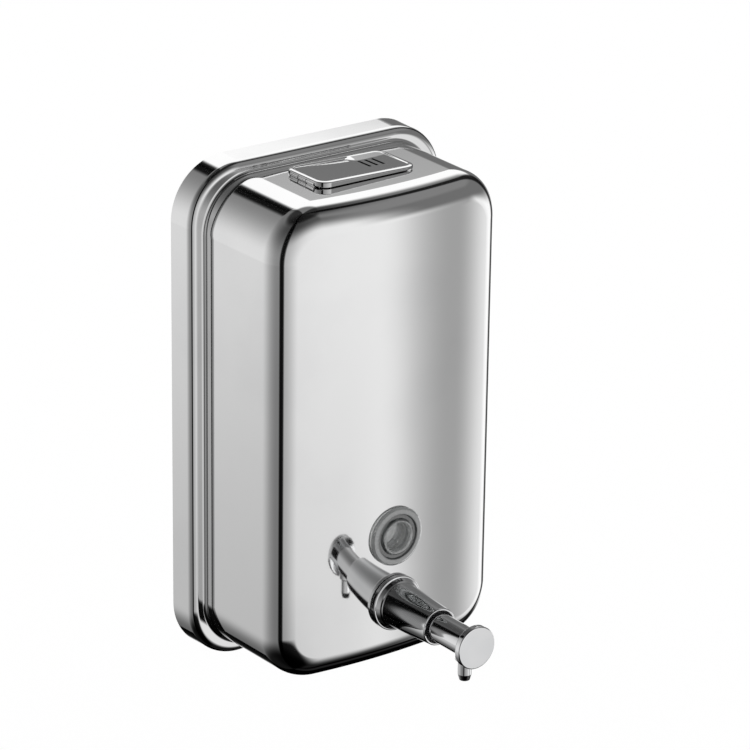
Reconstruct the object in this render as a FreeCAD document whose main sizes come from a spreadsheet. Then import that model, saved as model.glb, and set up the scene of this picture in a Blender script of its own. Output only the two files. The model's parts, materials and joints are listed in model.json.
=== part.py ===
import FreeCAD, Part
import math
import os
import types
import Sketcher

# Wall mounted soap dispenser, in millimetres.
#
# Frame: +X is to the right of someone who faces the dispenser, +Y goes into the wall and +Z is up.
# The origin is the middle of the four wall screw holes, on the wall's face.
#
# Most pieces are drawn lying on their back: their own Z is the distance out from the wall and their
# own Y is up, and FACING stands them up. The filler's pieces are drawn upright, about the middle of
# the lid, with Z = 0 on the top of the tank.

doc = FreeCAD.newDocument("soap_dispenser")

# ---------------------------------------------------------------- driving dimensions
DIMENSIONS = [
    ("pan_width", 120.0, "rear pan, across"),
    ("pan_height", 205.0, "rear pan, up"),
    ("pan_corner", 23.5, "rear pan, corner radius"),
    ("pan_depth", 12.8, "rear pan, out from the wall"),
    ("shoulder", 3.6, "rounding of the pan's front edge"),
    ("cove", 1.5, "rounding where the tank meets the pan"),
    ("tank_width", 107.0, "tank, across, where it leaves the pan"),
    ("tank_height", 194.4, "tank, up, where it leaves the pan"),
    ("tank_corner", 21.2, "tank, corner radius"),
    ("tank_draft", 0.6, "taper of the tank's walls, degrees"),
    ("front_depth", 64.7, "middle of the front panel, out from the wall"),
    ("crown_radius", 256.0, "radius of the bulged front panel"),
    ("front_edge", 10.8, "rounding of the tank's front edge"),
    ("sheet", 0.8, "thickness of the steel sheet"),
    ("plate_depth", 8.2, "rear face of the back plate, out from the wall"),
    ("lip_start", 2.0, "rear edge of the back plate's lip, out from the wall"),
    ("screw_gap_x", 52.0, "wall screws, across"),
    ("screw_gap_z", 80.0, "wall screws, up"),
    ("screw_hole", 2.5, "wall screw hole, radius"),
    ("bracket_sheet", 1.5, "thickness of the wall bracket"),
    ("bracket_width", 78.0, "wall bracket, across"),
    ("bracket_top", 74.0, "wall bracket, top edge"),
    ("bracket_bottom", 58.0, "wall bracket, lower edge of the wide part, below the origin"),
    ("hook_x", 22.0, "hooks, either side of the middle"),
    ("hook_z", 58.0, "upper face of the hooks' arms"),
    ("hook_width", 12.0, "hooks, across"),
    ("hook_rise", 8.0, "hooks, finger above the arm"),
    ("lock_depth", 4.8, "axis of the locking screw, out from the wall"),
    ("lock_radius", 2.0, "locking screw, thread radius"),
    ("lid_depth", 33.0, "middle of the lid, out from the wall"),
    ("lid_left", 22.9, "lid's hinge end, left of the filler's middle"),
    ("lid_right", 22.9, "lid's free end, right of the filler's middle"),
    ("lid_width", 24.5, "lid, out from the wall"),
    ("lid_corner", 5.0, "lid, corner radius"),
    ("lid_top", 2.2, "lid's rim above the tank"),
    ("lid_rim", 1.5, "lid's rim, across, round its sunk panel"),
    ("lid_sheet", 0.7, "lid, wall and panel thickness"),
    ("lid_edge", 0.7, "rounding of the lid's rim"),
    ("lid_gap", 0.3, "lower edge of the lid's skirt above the tank"),
    ("lid_seal", 0.5, "lid gasket, thickness"),
    ("collar_top", 0.6, "filler collar's flange above the tank"),
    ("throat_length", 36.0, "filler throat, across"),
    ("throat_width", 15.0, "filler throat, out from the wall"),
    ("throat_drop", 6.8, "filler throat, below the tank's top"),
    ("hinge_x", 22.1, "hinge axis, left of the filler's middle"),
    ("hinge_rise", 1.0, "hinge axis above the tank's top"),
    ("knuckle", 0.85, "hinge knuckles, radius"),
    ("knuckle_start", 2.7, "inner end of the collar's knuckles, from the lid's middle"),
    ("knuckle_end", 7.6, "outer end of the collar's knuckles, from the lid's middle"),
    ("pin_radius", 0.45, "hinge pin, radius"),
    ("slot_pitch", 3.2, "key slots, spacing"),
    ("slot_x", 9.6, "middle key slot, right of the filler's middle"),
    ("slot_width", 1.4, "key slots, across"),
    ("latch_low", 3.2, "latch bolt's lower face, below the tank's top"),
    ("latch_thick", 1.8, "latch bolt, thickness"),
    ("latch_back", 4.9, "latch bolt's rear end, right of the filler's middle"),
    ("latch_nose", 17.7, "latch bolt's nose, right of the filler's middle"),
    ("latch_half", 4.1, "latch bolt, half its width"),
    ("housing_start", 0.9, "latch housing's closed end, right of the filler's middle"),
    ("housing_end", 16.2, "latch housing's open end, right of the filler's middle"),
    ("housing_wall", 0.8, "latch housing, wall thickness"),
    ("sight_height", 42.4, "sight glass, below the origin"),
    ("sight_radius", 12.0, "sight glass flange, radius"),
    ("sight_thread", 7.6, "sight glass thread, radius"),
    ("valve_height", 70.3, "valve, below the origin"),
    ("valve_flange", 11.3, "valve flange, radius"),
    ("valve_thread", 8.0, "valve thread, radius"),
    ("barrel_back", 9.1, "valve barrel, radius beside the flange"),
    ("barrel_front", 7.6, "valve barrel, radius at its mouth"),
    ("barrel_mouth", 93.6, "valve barrel's mouth, out from the wall"),
    ("plunger_radius", 5.75, "plunger, radius"),
    ("head_radius", 8.65, "push head, radius"),
    ("head_face", 116.9, "push head's face, out from the wall"),
    ("head_thick", 2.8, "push head, thickness"),
    ("nozzle_depth", 109.7, "nozzle axis, out from the wall"),
    ("nozzle_radius", 2.75, "nozzle, radius"),
    ("nozzle_drop", 15.7, "nozzle's tip below the valve axis"),
    ("pump_bore", 4.8, "pump cylinder, inner radius"),
    ("pump_outer", 6.2, "pump cylinder, outer radius"),
    ("pump_back", 20.0, "pump cylinder's closed end, out from the wall"),
    ("pump_front", 71.0, "pump cylinder's open end, out from the wall"),
    ("inlet_depth", 26.0, "inlet axis, out from the wall"),
    ("ball_radius", 2.0, "inlet ball, radius"),
    ("nut_flats", 22.0, "lock nuts, across flats"),
    ("seat", 0.3, "flanges' rear faces in front of the panel's middle"),
    ("port", 1.5, "inlet port, radius"),
    ("running", 0.05, "radial clearance of what slides or turns"),
    ("spare", 0.3, "clearance between moving pieces that don't guide each other"),
]


class Size:
    """A length: its value, and the expression of sheet cells that it comes from."""

    def __init__(self, value, text):
        self.value = value
        self.text = text

    def __add__(self, other):
        other = as_size(other)
        return Size(self.value + other.value, f"({self.text} + {other.text})")

    def __sub__(self, other):
        other = as_size(other)
        return Size(self.value - other.value, f"({self.text} - {other.text})")

    def __mul__(self, other):
        other = as_size(other)
        return Size(self.value * other.value, f"({self.text} * {other.text})")

    def __truediv__(self, other):
        other = as_size(other)
        return Size(self.value / other.value, f"({self.text} / {other.text})")

    def __neg__(self):
        return Size(-self.value, f"(0 - {self.text})")


def as_size(number):
    """A plain number as a Size; a Size is returned as it is."""
    if isinstance(number, Size):
        return number
    return Size(float(number), repr(float(number)))


def fill_sheet():
    """Write the dimensions into the document's sheet and return them by name."""
    sheet = doc.addObject("Spreadsheet::Sheet", "sizes")
    sizes = {}
    for row, (alias, value, meaning) in enumerate(DIMENSIONS, start=1):
        sheet.set(f"A{row}", meaning)
        sheet.set(f"B{row}", str(value))
        sheet.setAlias(f"B{row}", alias)
        sizes[alias] = Size(value, f"sizes.{alias}")
    doc.recompute()
    return types.SimpleNamespace(**sizes)


dim = fill_sheet()

FACING = FreeCAD.Rotation(FreeCAD.Vector(1, 0, 0), 90)
UPRIGHT = FreeCAD.Rotation()
NODES = {}


# ---------------------------------------------------------------- drawing helpers
def bind(thing, place, size):
    """Tie a property to the sheet."""
    thing.setExpression(place, as_size(size).text)


def set_down(thing, rotation, at):
    """Give a piece its Placement, each coordinate tied to the sheet."""
    at = [as_size(number) for number in at]
    base = FreeCAD.Vector(*[size.value for size in at])
    thing.Placement = FreeCAD.Placement(base, rotation)
    for axis, size in zip("xyz", at):
        bind(thing, f"Placement.Base.{axis}", size)


def new_body(label, rotation=FACING, at=(0, 0, 0)):
    """An empty body with its Label and Placement."""
    body = doc.addObject("PartDesign::Body", label)
    body.Label = label
    set_down(body, rotation, at)
    return body


def new_sketch(body, plane, lift=0):
    """A sketch on one of the body's own origin planes, lifted along that plane's normal."""
    sketch = body.newObject("Sketcher::SketchObject", body.Label + "_sketch")
    origin = [part for part in body.Origin.OriginFeatures if part.Role == plane + "_Plane"]
    sketch.AttachmentSupport = [(origin[0], "")]
    sketch.MapMode = "FlatFace"
    lift = as_size(lift)
    sketch.AttachmentOffset = FreeCAD.Placement(FreeCAD.Vector(0, 0, lift.value), UPRIGHT)
    bind(sketch, "AttachmentOffset.Base.z", lift)
    return sketch


def measure(sketch, kind, geometry, size):
    """Add a driving dimension that follows the sheet."""
    size = as_size(size)
    number = sketch.addConstraint(Sketcher.Constraint(kind, *geometry, size.value))
    sketch.setExpression(f"Constraints[{number}]", size.text)


def add_outline(sketch, points):
    """A closed outline of straight lines; each corner's place follows the sheet."""
    corners = [(as_size(x), as_size(y)) for x, y in points]
    spots = [FreeCAD.Vector(x.value, y.value, 0) for x, y in corners]
    lines = []
    for start, end in zip(spots, spots[1:] + spots[:1]):
        lines.append(sketch.addGeometry(Part.LineSegment(start, end), False))
    for line, following in zip(lines, lines[1:] + lines[:1]):
        sketch.addConstraint(Sketcher.Constraint("Coincident", line, 2, following, 1))
    for line, (x, y) in zip(lines, corners):
        measure(sketch, "DistanceX", (-1, 1, line, 1), x)
        measure(sketch, "DistanceY", (-1, 1, line, 1), y)


def add_circle(sketch, radius, x=0, y=0):
    """A circle; its radius and centre follow the sheet."""
    centre = FreeCAD.Vector(as_size(x).value, as_size(y).value, 0)
    up = FreeCAD.Vector(0, 0, 1)
    circle = sketch.addGeometry(Part.Circle(centre, up, as_size(radius).value), False)
    measure(sketch, "Radius", (circle,), radius)
    measure(sketch, "DistanceX", (-1, 1, circle, 3), x)
    measure(sketch, "DistanceY", (-1, 1, circle, 3), y)


def add_rounded(sketch, width, height, radius, x=0, y=0):
    """A rectangle with rounded corners about (x, y): four sides tangent to four arcs."""
    width, height, radius = as_size(width), as_size(height), as_size(radius)
    left, right = as_size(x) - width / 2, as_size(x) + width / 2
    low, high = as_size(y) - height / 2, as_size(y) + height / 2
    r = radius.value
    x0, x1, y0, y1 = left.value, right.value, low.value, high.value
    ends = [
        ((x0 + r, y0), (x1 - r, y0)),
        ((x1, y0 + r), (x1, y1 - r)),
        ((x1 - r, y1), (x0 + r, y1)),
        ((x0, y1 - r), (x0, y0 + r)),
    ]
    centres = [(x1 - r, y0 + r), (x1 - r, y1 - r), (x0 + r, y1 - r), (x0 + r, y0 + r)]
    up = FreeCAD.Vector(0, 0, 1)
    sides, arcs = [], []
    for turn, (side, centre) in enumerate(zip(ends, centres)):
        start, end = [FreeCAD.Vector(*spot, 0) for spot in side]
        sides.append(sketch.addGeometry(Part.LineSegment(start, end), False))
        circle = Part.Circle(FreeCAD.Vector(*centre, 0), up, r)
        sweep = (math.radians(90 * turn - 90), math.radians(90 * turn))
        arcs.append(sketch.addGeometry(Part.ArcOfCircle(circle, *sweep), False))
    for turn in range(4):
        sketch.addConstraint(Sketcher.Constraint("Tangent", sides[turn], 2, arcs[turn], 1))
        after = sides[(turn + 1) % 4]
        sketch.addConstraint(Sketcher.Constraint("Tangent", arcs[turn], 2, after, 1))
        kind = ("Horizontal", "Vertical")[turn % 2]
        sketch.addConstraint(Sketcher.Constraint(kind, sides[turn]))
    for arc in arcs[1:]:
        sketch.addConstraint(Sketcher.Constraint("Equal", arcs[0], arc))
    measure(sketch, "Radius", (arcs[0],), radius)
    measure(sketch, "DistanceX", (-1, 1, sides[1], 1), right)
    measure(sketch, "DistanceX", (-1, 1, sides[3], 1), left)
    measure(sketch, "DistanceY", (-1, 1, sides[0], 1), low)
    measure(sketch, "DistanceY", (-1, 1, sides[2], 1), high)


def extrude(body, kind, sketch, length, back=False, both=False, taper=None):
    """A Pad or a Pocket of a sketch. A Pocket must take something away."""
    doc.recompute()
    before = body.Tip.Shape.Volume if body.Tip and kind == "Pocket" else None
    feature = body.newObject("PartDesign::" + kind, body.Label + "_" + kind.lower())
    feature.Profile = sketch
    bind(feature, "Length", length)
    feature.Reversed = back
    feature.Midplane = both
    if taper is not None:
        bind(feature, "TaperAngle", -taper)
    doc.recompute()
    if before is not None and feature.Shape.Volume > before - 1e-6:
        raise RuntimeError(f"{feature.Label} cuts nothing")
    return feature


def revolve(body, points):
    """Turn an outline of (radius, height) points about the body's own Z axis."""
    sketch = new_sketch(body, "XZ")
    add_outline(sketch, points)
    feature = body.newObject("PartDesign::Revolution", body.Label + "_revolution")
    feature.Profile = sketch
    feature.ReferenceAxis = (sketch, ["V_Axis"])
    feature.Angle = 360
    doc.recompute()
    return feature


def edges_of(feature, wanted):
    """Names of the feature's edges whose bounding box passes the test."""
    found = []
    for number, edge in enumerate(feature.Shape.Edges, start=1):
        if wanted(edge.BoundBox):
            found.append(f"Edge{number}")
    if not found:
        raise RuntimeError(f"{feature.Label} has no such edge")
    return found


def soften(body, kind, size, wanted):
    """A Fillet or a Chamfer on the tip's edges that pass the test."""
    base = body.Tip
    feature = body.newObject("PartDesign::" + kind, body.Label + "_" + kind.lower())
    feature.Base = (base, edges_of(base, wanted))
    bind(feature, "Radius" if kind == "Fillet" else "Size", size)
    doc.recompute()
    return feature


def mirror_tip(body, features):
    """Repeat features on the other side of the body's own middle plane."""
    mirrored = body.newObject("PartDesign::Mirrored", body.Label + "_mirrored")
    mirrored.Originals = features
    origin = [part for part in body.Origin.OriginFeatures if part.Role == "YZ_Plane"]
    mirrored.MirrorPlane = (origin[0], [""])
    body.Tip = mirrored
    doc.recompute()
    return mirrored


def combine(kind, label, base, tool):
    """A Part boolean of two objects of the document."""
    result = doc.addObject("Part::" + kind, label)
    result.Base = base
    result.Tool = tool
    result.Label = label
    doc.recompute()
    return result


def keep(label, thing):
    """Make a finished piece a node."""
    thing.Label = label
    NODES[label] = thing
    return thing


# ---------------------------------------------------------------- tank
def tank_form(label, inset):
    """The drawn shell as a solid, set in from the outer surface by a sheet's thickness or none."""
    body = new_body(label)
    start = as_size(0) if inset.value == 0 else -dim.sheet
    outline = new_sketch(body, "XY", start)
    across = dim.pan_width - inset * 2
    up = dim.pan_height - inset * 2
    add_rounded(outline, across, up, dim.pan_corner - inset)
    flange = dim.pan_depth - inset
    extrude(body, "Pad", outline, flange - start)

    outline = new_sketch(body, "XY", flange)
    across = dim.tank_width - inset * 2
    up = dim.tank_height - inset * 2
    add_rounded(outline, across, up, dim.tank_corner - inset)
    extrude(body, "Pad", outline, dim.front_depth - flange + 2, taper=dim.tank_draft)

    # Everything in front of the bulged panel goes: an arc closed by three sides.
    plan = new_sketch(body, "XZ")
    radius = dim.crown_radius - inset
    middle = dim.front_depth - dim.crown_radius
    reach = dim.pan_width / 2
    limit = dim.front_depth + 10
    drop = radius.value - math.sqrt(radius.value ** 2 - reach.value ** 2)
    edge = middle.value + radius.value - drop
    circle = Part.Circle(FreeCAD.Vector(0, middle.value, 0), FreeCAD.Vector(0, 0, 1), radius.value)
    turn = math.asin(reach.value / radius.value)
    arc = plan.addGeometry(Part.ArcOfCircle(circle, math.pi / 2 - turn, math.pi / 2 + turn), False)
    spots = [
        FreeCAD.Vector(-reach.value, edge, 0),
        FreeCAD.Vector(-reach.value, limit.value, 0),
        FreeCAD.Vector(reach.value, limit.value, 0),
        FreeCAD.Vector(reach.value, edge, 0),
    ]
    sides = [plan.addGeometry(Part.LineSegment(*pair), False) for pair in zip(spots, spots[1:])]
    plan.addConstraint(Sketcher.Constraint("Coincident", arc, 2, sides[0], 1))
    plan.addConstraint(Sketcher.Constraint("Coincident", sides[0], 2, sides[1], 1))
    plan.addConstraint(Sketcher.Constraint("Coincident", sides[1], 2, sides[2], 1))
    plan.addConstraint(Sketcher.Constraint("Coincident", sides[2], 2, arc, 1))
    plan.addConstraint(Sketcher.Constraint("Vertical", sides[0]))
    plan.addConstraint(Sketcher.Constraint("Vertical", sides[2]))
    plan.addConstraint(Sketcher.Constraint("Horizontal", sides[1]))
    plan.addConstraint(Sketcher.Constraint("PointOnObject", arc, 3, -2))
    measure(plan, "Radius", (arc,), radius)
    measure(plan, "DistanceY", (-1, 1, arc, 3), middle)
    measure(plan, "DistanceX", (-1, 1, sides[1], 1), -reach)
    measure(plan, "DistanceX", (-1, 1, sides[1], 2), reach)
    measure(plan, "DistanceY", (-1, 1, sides[1], 1), limit)
    extrude(body, "Pocket", plan, dim.pan_height + 10, both=True)

    far = dim.front_depth.value * 0.75
    soften(body, "Fillet", dim.front_edge - inset, lambda box: box.ZMin > far)
    level = flange.value
    half = dim.tank_width.value / 2 + 1
    tall = dim.tank_height.value / 2 + 1

    def at_flange(box):
        return abs(box.ZMin - level) < 1e-3 and abs(box.ZMax - level) < 1e-3

    def outside(box):
        return max(abs(box.XMin), abs(box.XMax)) > half or max(abs(box.YMin), abs(box.YMax)) > tall

    soften(body, "Fillet", dim.cove + inset, lambda box: at_flange(box) and not outside(box))
    soften(body, "Fillet", dim.shoulder - inset, lambda box: at_flange(box) and outside(box))
    return body


def top_of_tank():
    """Height of the tank's top under the rear edge of the lid, the highest place there."""
    rear = dim.lid_depth - dim.lid_width / 2 - dim.pan_depth
    fall = math.tan(math.radians(dim.tank_draft.value))
    return dim.tank_height / 2 - rear * round(fall, 5)


def filler_place():
    return (0, -dim.lid_depth, top_of_tank())


def cutter(label, width, height, radius, start, length, rotation, at):
    """A rounded block that cuts a hole."""
    body = new_body(label, rotation, at)
    sketch = new_sketch(body, "XY", start)
    add_rounded(sketch, width, height, radius)
    extrude(body, "Pad", sketch, length)
    return body


def round_cutter(label, radius, start, length, rotation, at):
    """A round bar that cuts a hole."""
    body = new_body(label, rotation, at)
    sketch = new_sketch(body, "XY", start)
    add_circle(sketch, radius)
    extrude(body, "Pad", sketch, length)
    return body


def lock_hole(label):
    """The locking screw's clearance hole through the pan's lower wall."""
    at = (0, -dim.lock_depth, -dim.pan_height / 2 - 1)
    return round_cutter(label, dim.lock_radius + dim.spare, 0, 4, UPRIGHT, at)


def build_shell():
    outer = tank_form("shell_outside", as_size(0))
    inner = tank_form("shell_inside", dim.sheet)
    hollow = combine("Cut", "shell_hollow", outer, inner)
    room = (dim.lid_sheet + dim.spare) * 2
    length, width = dim.throat_length + room, dim.throat_width + room
    corner, above, deep = 3.2, 3, 6
    near, reach = dim.front_depth - 6, 9
    sight_at = (0, 0, -dim.sight_height)
    valve_at = (0, 0, -dim.valve_height)
    sight_radius, valve_radius = dim.sight_thread + 0.4, dim.valve_thread + dim.spare
    tools = [
        cutter("filler_hole", length, width, corner, -above, deep, UPRIGHT, filler_place()),
        round_cutter("sight_hole", sight_radius, near, reach, FACING, sight_at),
        round_cutter("valve_hole", valve_radius, near, reach, FACING, valve_at),
        lock_hole("lock_hole"),
    ]
    holes = doc.addObject("Part::MultiFuse", "shell_holes")
    holes.Shapes = tools
    doc.recompute()
    return keep("front_shell", combine("Cut", "front_shell", hollow, holes))


def build_back_plate():
    """A flat plate with a lip that is welded inside the pan."""
    body = new_body("back_plate_blank")
    across = dim.pan_width - dim.sheet * 2
    up = dim.pan_height - dim.sheet * 2
    corner = dim.pan_corner - dim.sheet
    front = dim.plate_depth + dim.sheet
    sketch = new_sketch(body, "XY", dim.lip_start)
    add_rounded(sketch, across, up, corner)
    extrude(body, "Pad", sketch, front - dim.lip_start)
    sketch = new_sketch(body, "XY", dim.plate_depth)
    add_rounded(sketch, across - dim.sheet * 2, up - dim.sheet * 2, corner - dim.sheet)
    extrude(body, "Pocket", sketch, dim.plate_depth)
    front_z, bend = front.value, 0.6
    soften(body, "Fillet", bend, lambda box: abs(box.ZMin - front_z) < 1e-3)
    return keep("back_plate", combine("Cut", "back_plate", body, lock_hole("lip_hole")))


def build_bridges():
    """Two folded straps on the back plate that drop over the wall bracket's hooks."""
    gauge, height, above_arm, foot_length = 0.8, 8, 4, 5
    foot = dim.plate_depth
    web = dim.bracket_sheet + 1.1
    span = dim.hook_width / 2 + 2.5
    reach = span + foot_length
    for side, label in ((-1, "hanger_bridge_left"), (1, "hanger_bridge_right")):
        body = new_body(label, FACING, (dim.hook_x * side, 0, dim.hook_z + above_arm))
        sketch = new_sketch(body, "XZ")
        add_outline(sketch, [
            (-reach, foot), (-reach, foot - gauge), (-span, foot - gauge), (-span, web),
            (span, web), (span, foot - gauge), (reach, foot - gauge), (reach, foot),
            (span - gauge, foot), (span - gauge, web + gauge),
            (-span + gauge, web + gauge), (-span + gauge, foot),
        ])
        extrude(body, "Pad", sketch, height, both=True)
        keep(label, body)


def build_bracket():
    """The plate that is screwed to the wall: two hooks above and a tab for the locking screw below."""
    body = new_body("wall_bracket")
    top, low, half = dim.bracket_top, -dim.bracket_bottom, dim.bracket_width / 2
    leg, foot, corner = 13, -dim.pan_height / 2 + 5.5, 5
    plate = new_sketch(body, "XY")
    add_outline(plate, [
        (-half, top), (-half, low), (-leg, low), (-leg, foot),
        (leg, foot), (leg, low), (half, low), (half, top),
    ])
    for x in (-dim.screw_gap_x / 2, dim.screw_gap_x / 2):
        for z in (-dim.screw_gap_z / 2, dim.screw_gap_z / 2):
            add_circle(plate, dim.screw_hole, x, z)
    extrude(body, "Pad", plate, dim.bracket_sheet)
    corner_x = half.value
    soften(body, "Fillet", corner, lambda box: box.ZLength > 1 and box.XLength < 1e-3
           and abs(abs(box.XMin) - corner_x) < 1e-3)

    # One hook, with the window that it was bent out of, then its twin.
    arm, finger = dim.plate_depth - 3.0, dim.plate_depth - 4.3
    root, slant = 0.5, 1.2
    window = new_sketch(body, "XY", -1)
    beside = dim.hook_width / 2 + dim.spare
    inner, outer = dim.hook_x - beside, dim.hook_x + beside
    above = dim.hook_z + dim.hook_rise + 2
    add_outline(window, [(inner, dim.hook_z), (outer, dim.hook_z), (outer, above), (inner, above)])
    cut = extrude(body, "Pocket", window, 4, back=True)
    hook = new_sketch(body, "YZ", dim.hook_x - dim.hook_width / 2)
    under = dim.hook_z - dim.bracket_sheet
    tip = dim.hook_z + dim.hook_rise
    add_outline(hook, [
        (under, root), (under, arm), (tip - slant, arm), (tip, arm - slant / 2), (tip, finger),
        (dim.hook_z, finger), (dim.hook_z, root),
    ])
    bent = extrude(body, "Pad", hook, dim.hook_width)
    mirror_tip(body, [cut, bent])

    tab = new_sketch(body, "XY")
    wide, thick = 8, 2
    add_outline(tab, [(-wide, foot), (wide, foot), (wide, foot + thick), (-wide, foot + thick)])
    extrude(body, "Pad", tab, dim.plate_depth - 0.4)
    thread = new_sketch(body, "XZ", -(foot + thick + 1))
    add_circle(thread, dim.lock_radius, 0, dim.lock_depth)
    extrude(body, "Pocket", thread, thick + 2, back=True)
    keep("wall_bracket", body)


def build_lock_screw():
    """A socket set screw: backed out of the bracket's tab, it stands in the pan's hole."""
    length, flats, socket_depth, sunk = 8.4, 2.0, 2.2, 0.3
    body = new_body("lock_screw", UPRIGHT, (0, -dim.lock_depth, -dim.pan_height / 2 + sunk))
    sketch = new_sketch(body, "XY")
    add_circle(sketch, dim.lock_radius)
    extrude(body, "Pad", sketch, length)
    socket = new_sketch(body, "XY")
    add_hexagon(socket, flats)
    extrude(body, "Pocket", socket, socket_depth, back=True)
    keep("lock_screw", body)


def add_hexagon(sketch, flats):
    """A regular hexagon about the sketch's origin, by its width across flats."""
    corner = as_size(flats) / math.sqrt(3)
    turns = [math.radians(60 * step) for step in range(6)]
    points = [(corner * math.cos(turn), corner * math.sin(turn)) for turn in turns]
    add_outline(sketch, points)


def ring(label, inner, outer, start, end, at, rotation=FACING):
    """A plain washer, bush or tube."""
    body = new_body(label, rotation, at)
    sketch = new_sketch(body, "XY", start)
    add_circle(sketch, outer)
    add_circle(sketch, inner)
    extrude(body, "Pad", sketch, as_size(end) - start)
    return body


def seat_on_shell(label, blank, shell):
    """Shape a washer's face to the bulged panel that it presses on."""
    return keep(label, combine("Cut", label, blank, shell))


def lock_nut(label, bore, start, thick, at):
    """A hexagon nut with a broad face against its washer."""
    body = new_body(label, FACING, at)
    sketch = new_sketch(body, "XY", start)
    add_hexagon(sketch, dim.nut_flats)
    add_circle(sketch, bore)
    extrude(body, "Pad", sketch, thick)
    keep(label, body)


# ---------------------------------------------------------------- filler
def add_box(sketch, left, right, low, high):
    """A rectangle by its sides."""
    add_outline(sketch, [(left, low), (right, low), (right, high), (left, high)])


def build_collar(shell):
    """The steel collar in the tank's filler hole, with the outer hinge knuckles."""
    body = new_body("collar_blank", UPRIGHT, filler_place())
    inside = dim.lid_sheet + dim.spare
    bedding, arm_margin = 0.4, 0.3
    flange = new_sketch(body, "XY", -bedding)
    add_rounded(flange, (dim.hinge_x - dim.knuckle - dim.spare) * 2,
                dim.lid_width - inside * 2, dim.lid_corner - inside)
    extrude(body, "Pad", flange, dim.collar_top + bedding)
    arms = new_sketch(body, "XY", -bedding)
    left, right = -dim.hinge_x - arm_margin, -dim.hinge_x + dim.knuckle + 2
    start, end = dim.knuckle_start, dim.knuckle_end
    add_box(arms, left, right, -end, -start)
    add_box(arms, left, right, start, end)
    extrude(body, "Pad", arms, dim.collar_top + bedding)
    for lift in (start, -end):
        knuckle = new_sketch(body, "XZ", lift)
        add_circle(knuckle, dim.knuckle, -dim.hinge_x, dim.hinge_rise)
        extrude(body, "Pad", knuckle, end - start)
    wall, neck_corner, throat_corner = dim.lid_sheet, 2.8, 2.1
    neck = new_sketch(body, "XY", -dim.throat_drop)
    length, width = dim.throat_length + wall * 2, dim.throat_width + wall * 2
    add_rounded(neck, length, width, neck_corner)
    extrude(body, "Pad", neck, dim.throat_drop + dim.collar_top)
    throat = new_sketch(body, "XY", dim.collar_top + 1)
    add_rounded(throat, dim.throat_length, dim.throat_width, throat_corner)
    extrude(body, "Pocket", throat, dim.throat_drop + dim.collar_top + 2)
    bore = new_sketch(body, "XZ")
    add_circle(bore, dim.pin_radius, -dim.hinge_x, dim.hinge_rise)
    extrude(body, "Pocket", bore, end * 2 + 2, both=True)
    keep("filler_collar", combine("Cut", "filler_collar", body, shell))


def build_keeper():
    """A cup in the collar's right end. The latch's nose stands in the window in its wall."""
    body = new_body("latch_keeper", UPRIGHT, filler_place())
    half = dim.throat_length / 2
    size, wall, corner = 19, 1.0, 2.1
    middle = half - size / 2
    block = new_sketch(body, "XY", -dim.throat_drop)
    add_rounded(block, size, dim.throat_width, corner, middle, 0)
    extrude(body, "Pad", block, dim.throat_drop)
    well = new_sketch(body, "XY", 1)
    add_rounded(well, size - 2 * wall, dim.throat_width - 2 * wall, corner - wall, middle, 0)
    extrude(body, "Pocket", well, dim.throat_drop)
    margin = 0.5
    low, high = -dim.latch_low - 0.4, dim.latch_thick - dim.latch_low + 0.4
    window = new_sketch(body, "YZ", half - wall - margin)
    add_box(window, -dim.latch_half - margin, dim.latch_half + margin, low, high)
    extrude(body, "Pocket", window, wall + margin * 4, back=True)
    keep("latch_keeper", body)


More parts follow.
